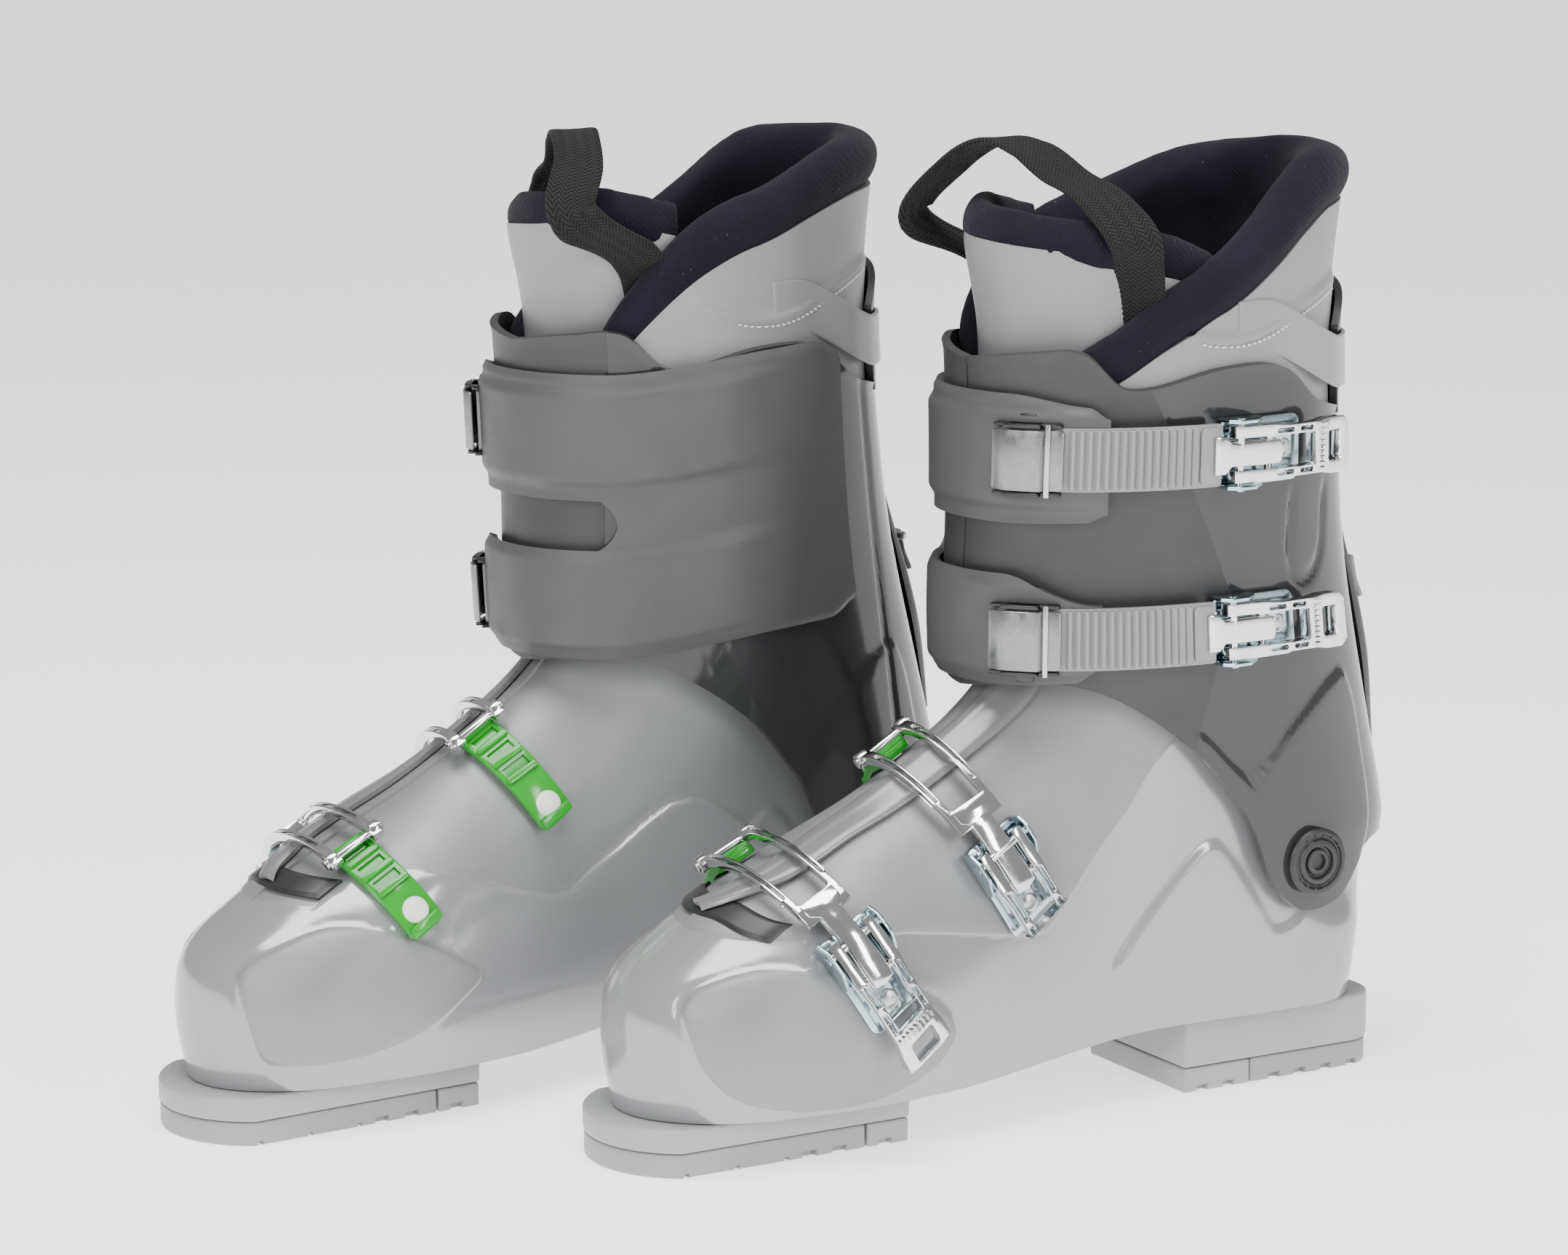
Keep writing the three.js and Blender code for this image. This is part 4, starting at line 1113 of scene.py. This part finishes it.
# ------------------------------------------------------------------ rear: spoiler, its strap and the spine
def rear_parts():
    """Spoiler behind the calf, the strap round it, and the spine plate."""
    def spoiler(u, v):
        away = mix(-36, 36, u)
        low = cuff_top_edge(180 - np.abs(away)) - 3
        z = mix(low, 327 - 0.012 * away ** 2 - 3 * (np.abs(away) / 36) ** 6, v)
        bulge = 0.5 + 1.8 * np.cos(np.radians(away * 2.4)) * smooth(0, 0.5, v)
        return leg_face(np.radians(180 + away), z, bulge)

    obj = lay("spoiler", 60, 34, spoiler)
    wall(obj, 3.0)
    crisp(obj, 45)
    set_on_boots(obj, "spoiler_skin", "cuff", DARK, ["spoiler"])

    def strap(u, v):
        away = mix(-86, 86, u)
        half = 10.5 - 2.5 * smooth(72, 86, np.abs(away))
        z = 296 + 20 * smooth(42, 84, np.abs(away)) + (2 * v - 1) * half
        proud = mix(3.2, 0.2 - LINER_INSET + 1.2, smooth(46, 78, np.abs(away)))
        return leg_face(np.radians(180 + away), z, proud)

    obj = lay("spoiler strap", 130, 14, strap)
    wall(obj, 1.8)
    crisp(eased(obj, 0.5, angle=60), 45)
    set_on_boots(obj, "spoiler_strap", "cuff", STRAP)

    def spine(u, v):
        away = mix(-11.25, 11.25, u)
        bulge = 3 + 6.0 * np.sin(np.pi * np.clip(0.08 + 0.84 * v, 0, 1))
        across = 1 - np.abs(away / 11.25) ** 4
        turn = np.radians(180 + away * mix(0.72, 1.0, smooth(0, 0.5, v)))
        return leg_face(turn, mix(131, 225, v), 0.6 + bulge * (0.35 + 0.65 * across))

    obj = lay("spine", 26, 60, spine)
    wall(obj, 3.0)
    crisp(obj, 45)
    set_on_boots(obj, "spine_skin", "cuff", DARK, ["spine_plate"])


# ------------------------------------------------------------------ flat pieces bent on to a band
# Heights off the band of the lever hinge, the link pin, the buckle's seat and the flap's face.
HINGE, LINK, SEAT, FLAP_FACE = 8.5, 6.6, 1.5, 4.6
LINK_REACH = 14.0  # from the lever hinge to the link pin
HALF_BUCKLE, HALF_STRAP = 14.0, 12.5


def pill(s0, s1, v0, v1, corner, steps=4):
    """Rounded rectangle as an outline."""
    out = []
    for cs, cv, first in ((s1 - corner, v0 + corner, -90), (s1 - corner, v1 - corner, 0),
                          (s0 + corner, v1 - corner, 90), (s0 + corner, v0 + corner, 180)):
        for i in range(steps + 1):
            a = math.radians(first + 90 * i / steps)
            out.append((cs + corner * math.cos(a), cv + corner * math.sin(a)))
    return out


def slotted(outline, h0, h1, holes=(), edge=0.5):
    """Plate on an outline between two heights, with holes through it, its edges rounded over."""
    obj = prism("plate", outline, h0, h1, 0)
    if holes:
        cut(obj, [prism("hole", hole, h0 - 2, h1 + 2, 0) for hole in holes])
    if edge:
        eased(obj, edge)
    return obj


def bent(obj, band, step=3.0, lift=None):
    """Bends a flat piece (x along the band, y across, z proud) on to the band, in short lengths."""
    mesh = bmesh.new()
    mesh.from_mesh(obj.data)
    places = [v.co.x for v in mesh.verts]
    for s in np.arange(min(places) + step, max(places), step):
        bmesh.ops.bisect_plane(mesh, geom=mesh.verts[:] + mesh.edges[:] + mesh.faces[:], plane_co=(s, 0, 0),
                               plane_no=(1, 0, 0), dist=0.01)
    mesh.to_mesh(obj.data)
    mesh.free()
    p = points_of(obj)
    h = p[:, 2] + (lift(p[:, 0]) if lift else 0)
    set_points(obj, band.at(p[:, 0], p[:, 1], h))
    return crisp(obj, 40)


def rod(radius, a, b, sides=20):
    """Round bar between two points, its ends rounded over."""
    a, b = Vector(a), Vector(b)
    bpy.ops.mesh.primitive_cylinder_add(vertices=sides, radius=radius, depth=(b - a).length)
    obj = bpy.context.object
    obj.data.transform(Matrix.Translation((a + b) / 2) @ (b - a).to_track_quat("Z", "Y").to_matrix().to_4x4())
    return crisp(eased(obj, min(0.4, radius * 0.3)), 40)


def band_rod(radius, band, s, v0, v1, h):
    """Round bar across the band."""
    return rod(radius, band.at(s, v0, h), band.at(s, v1, h))


def swung(obj, order):
    """Piece with its axes in another order."""
    set_points(obj, points_of(obj)[:, order])
    return face_outwards(obj)


def stud(band, s, v, h, radius, height):
    """Low domed head standing on the band."""
    bpy.ops.mesh.primitive_uv_sphere_add(segments=24, ring_count=12, radius=1)
    obj = bpy.context.object
    foot, top = Vector(band.at(s, v, h)), Vector(band.at(s, v, h + 1))
    obj.data.transform(Matrix.Translation(foot) @ (top - foot).to_track_quat("Z", "Y").to_matrix().to_4x4()
                       @ Matrix.Diagonal((radius, radius, height, 1)))
    return crisp(obj, 60)


def ladder(band, start, end, name, node, rivet):
    """Green rack with pockets between cross ribs, held by a domed rivet."""
    half, pitch = 8.4, 8.2
    count = int((end - start - 21) / pitch)
    body = slotted(pill(start, end, -half, half, 3.2), SEAT - 1.2, 4.2, edge=0.7)
    cut(body, [block(end - 7.6 - pitch * i, 0, 4.6, 4.6, 2 * half - 5.2, 3.4) for i in range(count)])
    parts = [body]
    for i in range(count + 1):
        s = end - 1.2 - pitch * i
        parts.append(slotted(pill(s - 2.6, s, -half + 0.7, half - 0.7, 1.0), 3.6, 5.8, edge=0.6))
    parts.append(slotted(pill(start + 1, start + 5, -half + 0.8, half - 0.8, 1.2), 3.6, 6.2, edge=0.6))
    piece = join([bent(part, band) for part in parts], name)
    set_on_boots(crisp(piece), f"{name}_rack", "shells", GREEN, [node])
    cap = stud(band, rivet, 0, 4.4, 5.4, 1.8)
    set_on_boots(cap, f"{name}_rivet", "shells", CREAM)


def buckle_base(band, s, name, body):
    """Zinc seat plate with two cheeks that hold the lever's hinge."""
    wide = HALF_BUCKLE - 0.6
    plate = slotted(pill(s - 6, s + 34, -wide, wide, 4), SEAT - 0.4, SEAT + 1.2, edge=0.4)
    parts = [bent(plate, band)]
    cheek = [(s - 6, SEAT), (s + 13, SEAT), (s + 12, SEAT + 4.5), (s + 5, HINGE + 3.4), (s - 2, HINGE + 4.0),
             (s - 5.5, HINGE + 1)]
    for side in (-1, 1):
        v = side * (HALF_BUCKLE - 0.8)
        parts.append(bent(swung(prism("cheek", cheek, v - 0.75, v + 0.75, 0.4), [0, 2, 1]), band))
        parts.append(band_rod(2.0, band, s, side * (HALF_BUCKLE - 1.0), side * (HALF_BUCKLE + 0.6), HINGE))
    piece = join(parts, "base")
    set_on_boots(crisp(piece), f"{name}_base_plate", body, ZINC, [f"{name}_base"])
    rivets = [stud(band, s + 26, 0, SEAT + 1.0, 4.0, 1.3), stud(band, s + 17, 5.5, SEAT + 1.0, 2.2, 0.9)]
    set_on_boots(join(rivets, "rivets"), f"{name}_base_rivets", body, STEEL)


def lever(band, s, length, name):
    """Cast lever: two slotted rails joined at the free end round a square finger hole."""
    outer, rail = 11.2, 4.6
    inner = outer - rail
    outline = []
    for side in (1, -1):
        marks = [(s - 3.2, outer), (s + 12, outer), (s + 20, outer - 0.9), (s + length - 15, outer - 0.9),
                 (s + length - 10, outer), (s + length - 3, outer)]
        outline += [(a, side * b) for a, b in (marks if side == 1 else marks[::-1])]
        if side == 1:
            outline += [(s + length, outer - 3), (s + length, -outer + 3)]
    gap_end = s + length - 17
    half_way = (s + 14 + gap_end) / 2
    mouth = pill(s - 9, gap_end, -inner, inner, 1.2)
    slots = []
    for side in (-1, 1):
        v = side * (outer - rail / 2 - 0.5)
        slots.append(pill(s + 14, half_way - 1.3, v - 0.95, v + 0.95, 0.9, 3))
        slots.append(pill(half_way + 1.3, gap_end - 1, v - 0.95, v + 0.95, 0.9, 3))
    window = pill(s + length - 11.5, s + length - 4.5, -6.2, 6.2, 1.4)
    body = slotted(outline, HINGE - 2.8, HINGE + 2.2, [mouth, window, *slots], edge=0.7)

    def lift(at):
        return 1.6 * smooth(s + length - 22, s + length, at) + 0.8 * smooth(s + 4, s + 16, at)

    parts = [bent(body, band, lift=lift)]
    for v in np.arange(-9, 9.1, 2.25):
        grip = block(s + length - 14.28, v, HINGE + 2.6, 2.4, 1.2, 1.4)
        parts.append(bent(grip, band, lift=lift))
    pin_from = band.at(s + LINK_REACH, 0, LINK)
    along = (band.at(s, 8, HINGE) - band.at(s, -8, HINGE)) / 16
    parts.append(rod(1.7, pin_from - along * (outer - 0.8), pin_from + along * (outer - 0.8)))
    parts.append(band_rod(1.7, band, s, -HALF_BUCKLE + 1.6, HALF_BUCKLE - 1.6, HINGE))
    piece = join(parts, "lever")
    set_on_boots(crisp(piece), f"{name}_lever_frame", f"{name}_lever", POLISHED,
                 [f"{name}_lever"])


def pull_band(s0, s, head):
    """Bright curved strip over the link pin, broader at its head."""
    pin = s + LINK_REACH
    outline = [(s0, -head), (s0 + 4.5, -head), (s0 + 7, -4.6), (pin - 2, -4.9), (pin + 3.2, -4.9),
               (pin + 4.2, 0), (pin + 3.2, 4.9), (pin - 2, 4.9), (s0 + 7, 4.6), (s0 + 4.5, head), (s0, head)]
    return slotted(outline, LINK + 1.9, LINK + 3.5, edge=0.6)


def link_tongue(s0, s):
    """Flat end of a pull, as far as its pin in the lever."""
    return slotted(pill(s0, s + LINK_REACH + 3.6, -5.2, 5.2, 1.6), LINK - 2.2, LINK + 1.6, edge=0.5)


def bail(band, hook, s, name):
    """Two-legged pull with a bar that hooks on the ladder, at hook, and a link in the lever."""
    outer = HALF_BUCKLE - 2
    bar_at = s - 14
    near_side = [(hook - 3.5, outer + 0.6), (hook + 5, outer), (bar_at - 8, outer - 1.4),
                 (bar_at + 2.5, outer - 1.4)]
    outline = near_side + [(a, -b) for a, b in reversed(near_side)]
    openings = [pill(hook - 9, bar_at - 5.5, -outer + 4.2, outer - 4.2, 1.6)]
    for v in (2.1 - outer, outer - 2.1):
        if bar_at - hook > 34:
            openings.append(pill(hook + 8, bar_at - 11, v - 0.8, v + 0.8, 0.75, 3))
    parts = [bent(slotted(outline, HINGE - 3, HINGE + 1.0, openings, edge=0.7), band),
             band_rod(1.7, band, hook, 0.5 - outer, outer - 0.5, HINGE - 1.4)]
    for side in (-1, 1):
        parts.append(band_rod(3.4, band, hook, side * (outer - 3.4), side * (outer + 1.4), HINGE - 1.0))
        parts.append(band_rod(2.2, band, hook, side * (outer + 1), side * (outer + 2.4), HINGE - 1.0))
    parts.append(bent(link_tongue(bar_at - 4, s), band))
    parts.append(bent(pull_band(bar_at - 5, s, 8.2), band))
    piece = join(parts, "bail")
    set_on_boots(crisp(piece), f"{name}_bail_fork", f"{name}_pull", POLISHED,
                 [f"{name}_bail"])


def ratchet_strap(band, s, name):
    """Grey strap: saw teeth near the catch, then a smooth stepped end under the lever's link."""
    mouth, pitch, teeth, end = 50.6, 3.0, 16, s - 7
    first = mouth + 0.6
    body = slotted(pill(mouth - 24, end, -HALF_STRAP, HALF_STRAP, 1.5), FLAP_FACE + 0.5, FLAP_FACE + 2.9,
                   edge=0.4)
    parts = [bent(body, band)]
    root, tooth_half = FLAP_FACE + 2.8, HALF_STRAP - 0.9
    for i in range(teeth):
        a = first + i * pitch
        outline = [(a, root), (a + pitch - 0.1, root), (a + pitch - 0.5, root + 1.5),
                   (a + pitch - 1.3, root + 1.7)]
        tooth = swung(prism("tooth", outline, -tooth_half, tooth_half, 0), [0, 2, 1])
        parts.append(bent(eased(tooth, 0.22, 1), band, step=30))
    plain = pill(first + teeth * pitch + 0.6, end - 0.6, -HALF_STRAP + 1.2, HALF_STRAP - 1.2, 2.0)
    parts.append(bent(slotted(plain, FLAP_FACE + 2.7, FLAP_FACE + 3.9, edge=0.5), band))
    piece = join(parts, "strap")
    set_on_boots(crisp(piece), f"{name}_ratchet", f"{name}_pull", STRAP, [f"{name}_strap"])
    pieces = [bent(link_tongue(s - 16, s), band), bent(pull_band(s - 11, s, 7.6), band)]
    set_on_boots(crisp(join(pieces, "link")), f"{name}_link_band", f"{name}_pull", POLISHED)


def catch(band, name):
    """Bent steel release plate in a black housing that holds the strap's loose end."""
    low, high = 23.5, 50.2
    half = HALF_STRAP - 0.6
    plate = slotted(pill(low + 1.5, high, -half, half, 1.2), FLAP_FACE + 4.4, FLAP_FACE + 5.6, edge=0.35)

    def fold(at):
        return 2.4 * smooth(high - 6.0, high - 7.4, at) - 2.0 * smooth(low + 7.5, low + 1.5, at)

    set_on_boots(bent(plate, band, step=1.2, lift=fold), f"{name}_catch_plate", f"{name}_catch",
                 SATIN, [f"{name}_catch"])
    parts = []
    for side in (-1, 1):
        v = side * (HALF_STRAP + 0.9)
        for s0, s1, top in ((low + 6, high - 7.5, FLAP_FACE + 7.2), (low + 1, high - 1, FLAP_FACE + 4.6)):
            cheek = slotted(pill(s0, s1, v - 0.8, v + 0.8, 0.7, 2), FLAP_FACE - 0.8, top, edge=0.3)
            parts.append(bent(cheek, band))
        tab = pill(low + 9, high - 10.5, min(v, v + side * 4.2), max(v, v + side * 4.2), 1.6)
        parts.append(bent(slotted(tab, FLAP_FACE - 0.6, FLAP_FACE + 1.2, edge=0.5), band))
    floor = pill(low, high, -HALF_STRAP, HALF_STRAP, 1.0)
    parts.append(bent(slotted(floor, FLAP_FACE - 0.6, FLAP_FACE + 0.35, edge=0.2), band))
    set_on_boots(crisp(join(parts, "housing")), f"{name}_catch_housing", "cuff", BLACK_STEEL)
    pin = band_rod(1.3, band, high - 5.4, -HALF_STRAP - 1.8, HALF_STRAP + 1.8, FLAP_FACE + 5.9)
    set_on_boots(pin, f"{name}_catch_pin", "cuff", STEEL)


def buckles():
    ladder(TOE, -62, -14, "toe_ladder", "toe_ladder", -53)
    ladder(INSTEP, -54, -4, "instep_ladder", "instep_ladder", -46)
    buckle_base(TOE, 57, "toe", "shells")
    buckle_base(INSTEP, 56, "instep", "shells")
    lever(TOE, 57, 52, "toe")
    lever(INSTEP, 56, 58, "instep")
    bail(TOE, -20, 57, "toe")
    bail(INSTEP, -7, 56, "instep")
    for band, name in ((LOWER, "lower"), (UPPER, "upper")):
        buckle_base(band, 116, name, "cuff")
        lever(band, 116, 50, name)
        ratchet_strap(band, 116, name)
        catch(band, name)


# ------------------------------------------------------------------ ankle pivots
def ear_face(side):
    """Distance of the cuff's ear from the middle, at the ankle axis."""
    return float(cuff_side(ANKLE_Z)) + (1.4 if side > 0 else 0.8)


def disc(side, profile, name):
    """Turned piece on the ankle axis; profile holds (radius, height off the ear) from rim to centre."""
    face, steps = ear_face(side), 64

    def place(u, v):
        at = v * (len(profile) - 1)
        r = np.interp(at, range(len(profile)), [p[0] for p in profile])
        h = np.interp(at, range(len(profile)), [p[1] for p in profile])
        a = 2 * np.pi * u
        return stack(side * (face + h), ANKLE_Y + r * np.cos(a), ANKLE_Z + r * np.sin(a))

    obj = lay(name, steps, len(profile) - 1, place)
    weld(obj, 0.01)
    return crisp(turned_out(obj), 30)


def pivots():
    """Ringed heads on the cuff's pivots, with two rows of pips."""
    head = [(0.01, -6), (13.6, -6), (13.8, 1.2), (13.2, 2.0), (12.2, 2.4), (11.2, 2.3), (10.8, 1.4),
            (10.2, 1.2), (9.6, 1.4), (9.0, 2.2), (7.4, 2.5), (6.9, 2.2), (6.5, 0.8), (5.6, 0.6), (5.2, 1.6),
            (4.7, 1.9), (3.4, 1.9), (3.2, 0.4), (0.01, 0.3)]
    ring = 11.0
    for side, name in ((1, "lateral"), (-1, "medial")):
        parts = [disc(side, head, name)]
        for degrees in [row + 22 * k for row in (35, 215) for k in range(5)]:
            a = math.radians(degrees)
            y, z = ANKLE_Y + ring * math.cos(a), ANKLE_Z + ring * math.sin(a)
            p = Vector((side * (ear_face(side) + 2.2), y, z))
            parts.append(rod(0.55, p, p + Vector((side * 0.6, 0, 0)), 10))
        piece = join(parts, name)
        set_on_boots(piece, f"pivot_disc_{name}", "shells", DARK, [f"pivot_{name}"])


# ------------------------------------------------------------------ overlap of the shell over the instep
def throat():
    """Edge of the shell's outer overlap, running down the instep and curling in at its front end."""
    edge_line = curve([(94, 1), (100, 12), (107, 19), (122, 18), (144, 18), (167, 19.4), (182, 19)])

    def place(u, v):
        z = mix(95.0, 181.0, u)
        x = edge_line(z) + mix(-11.5 + 6 * smooth(104, 95, z), 1.5, v)
        drop = 1.0 * smooth(0.86, 1.0, v) + 0.7 * smooth(0.1, 0.0, v)
        out = unit(stack(x * 0.6, -24, 14 + 12 * smooth(130, 100, z)))
        return stack(x, shell_ridge(x, z), z) + out * (1.9 - drop + 0.35 * hump(v - 0.3, 0.12))[:, None]

    obj = lay("throat", 120, 26, place)
    wall(obj, 2.4)
    crisp(obj, 40)
    set_on_boots(obj, "throat_flap", "shells", OVERLAP)


def toe_label():
    """Raised dark strip across the toe."""
    def place(u, v):
        x = mix(-25.0, 35.0, u)
        z0 = 90.5 + 6 * np.sqrt(np.clip(1 - ((x - 2) / 46) ** 2, 0, 1)) - 4 * smooth(10, 36, x)
        z = z0 + mix(-3.2, 2.8, v)
        out = unit(stack(x * 0.4, -20, 26))
        corner = smooth(0, 0.06, np.minimum(u, 1 - u)) * smooth(0, 0.16, np.minimum(v, 1 - v))
        return stack(x, shell_ridge(x, z), z) + out * (0.6 + 0.9 * corner)[:, None]

    obj = lay("label", 90, 14, place)
    wall(obj, 1.4)
    crisp(obj, 45)
    set_on_boots(obj, "toe_label_strip", "shells", DARK)


# ------------------------------------------------------------------ walk lever
def walk_lever():
    """Small blade on the spine plate that swings out, and its axle."""
    def place(u, v):
        away = mix(-3.4, 3.4, u)
        z = mix(191, 208.5, v)
        proud = 12.9 + 1.4 * smooth(0.5, 0, v) - 1.0 * np.abs(2 * u - 1) ** 3
        return leg_face(np.radians(180 + away), z, proud)

    obj = lay("walk", 14, 24, place)
    wall(obj, 2.2)
    crisp(eased(obj, 0.6, angle=60), 45)
    axle_z = 206
    axle_y = float(leg_face(math.pi, np.array(float(axle_z)), 10.6)[1])
    axle = rod(1.8, (-6, axle_y, axle_z), (6, axle_y, axle_z))
    set_on_boots(obj, "walk_lever_blade", "walk_lever", STRAP, ["walk_lever"])
    set_on_boots(axle, "walk_lever_axle", "cuff", STEEL)


# ------------------------------------------------------------------ floor and light
def light(name, place, aim, size, power):
    """Rectangular soft box aimed at a point."""
    bpy.ops.object.light_add(type="AREA", location=place)
    lamp = bpy.context.object
    lamp.name = name
    lamp.data.shape = "RECTANGLE"
    lamp.data.size, lamp.data.size_y = size
    lamp.data.energy = power
    lamp.rotation_euler = (Vector(aim) - Vector(place)).to_track_quat("-Z", "Y").to_euler()


def studio():
    """Pale floor under soft boxes."""
    bpy.ops.mesh.primitive_plane_add(size=70, location=(0, 0, 0))
    floor = bpy.context.object
    floor.name = "floor"
    material, tree, shader = nodes_of("pale floor", (0.9, 0.9, 0.9), 0.6, Emission_Strength=1.25)
    shader.inputs["Emission Color"].default_value = (1, 1, 1, 1)
    cloud = spread(tree, noise(tree, 1.5, 3), 0, 1)
    tree.links.new(blend_color(tree, cloud, (0.90, 0.90, 0.90), (0.93, 0.93, 0.93)),
                   shader.inputs["Base Color"])
    tree.links.new(bump(tree, noise(tree, 300, 3), 0.05, 0.0004), shader.inputs["Normal"])
    floor.data.materials.append(material)
    world = bpy.data.worlds.new("studio")
    bpy.context.scene.world = world
    world.use_nodes = True
    sky = world.node_tree.nodes["Background"]
    sky.inputs["Color"].default_value = (1, 1, 1, 1)
    sky.inputs["Strength"].default_value = 0.36
    light("overhead", (0.3, -0.3, 2.2), (0, 0, 0.1), (1.8, 1.1), 62)
    light("front", (1.3, -2.1, 1.4), (0, 0, 0.15), (0.7, 1.2), 34)
    light("side", (2.2, 0.7, 1.1), (0, 0, 0.2), (0.4, 1.5), 24)


add_camera()
studio()
lower_shell()
throat()
toe_label()
soles()
pivots()
cuff()
flap()
foot_lining()
collar()
liner_vinyl()
stitches()
tongue()
pull_loop()
rear_parts()
walk_lever()
buckles()
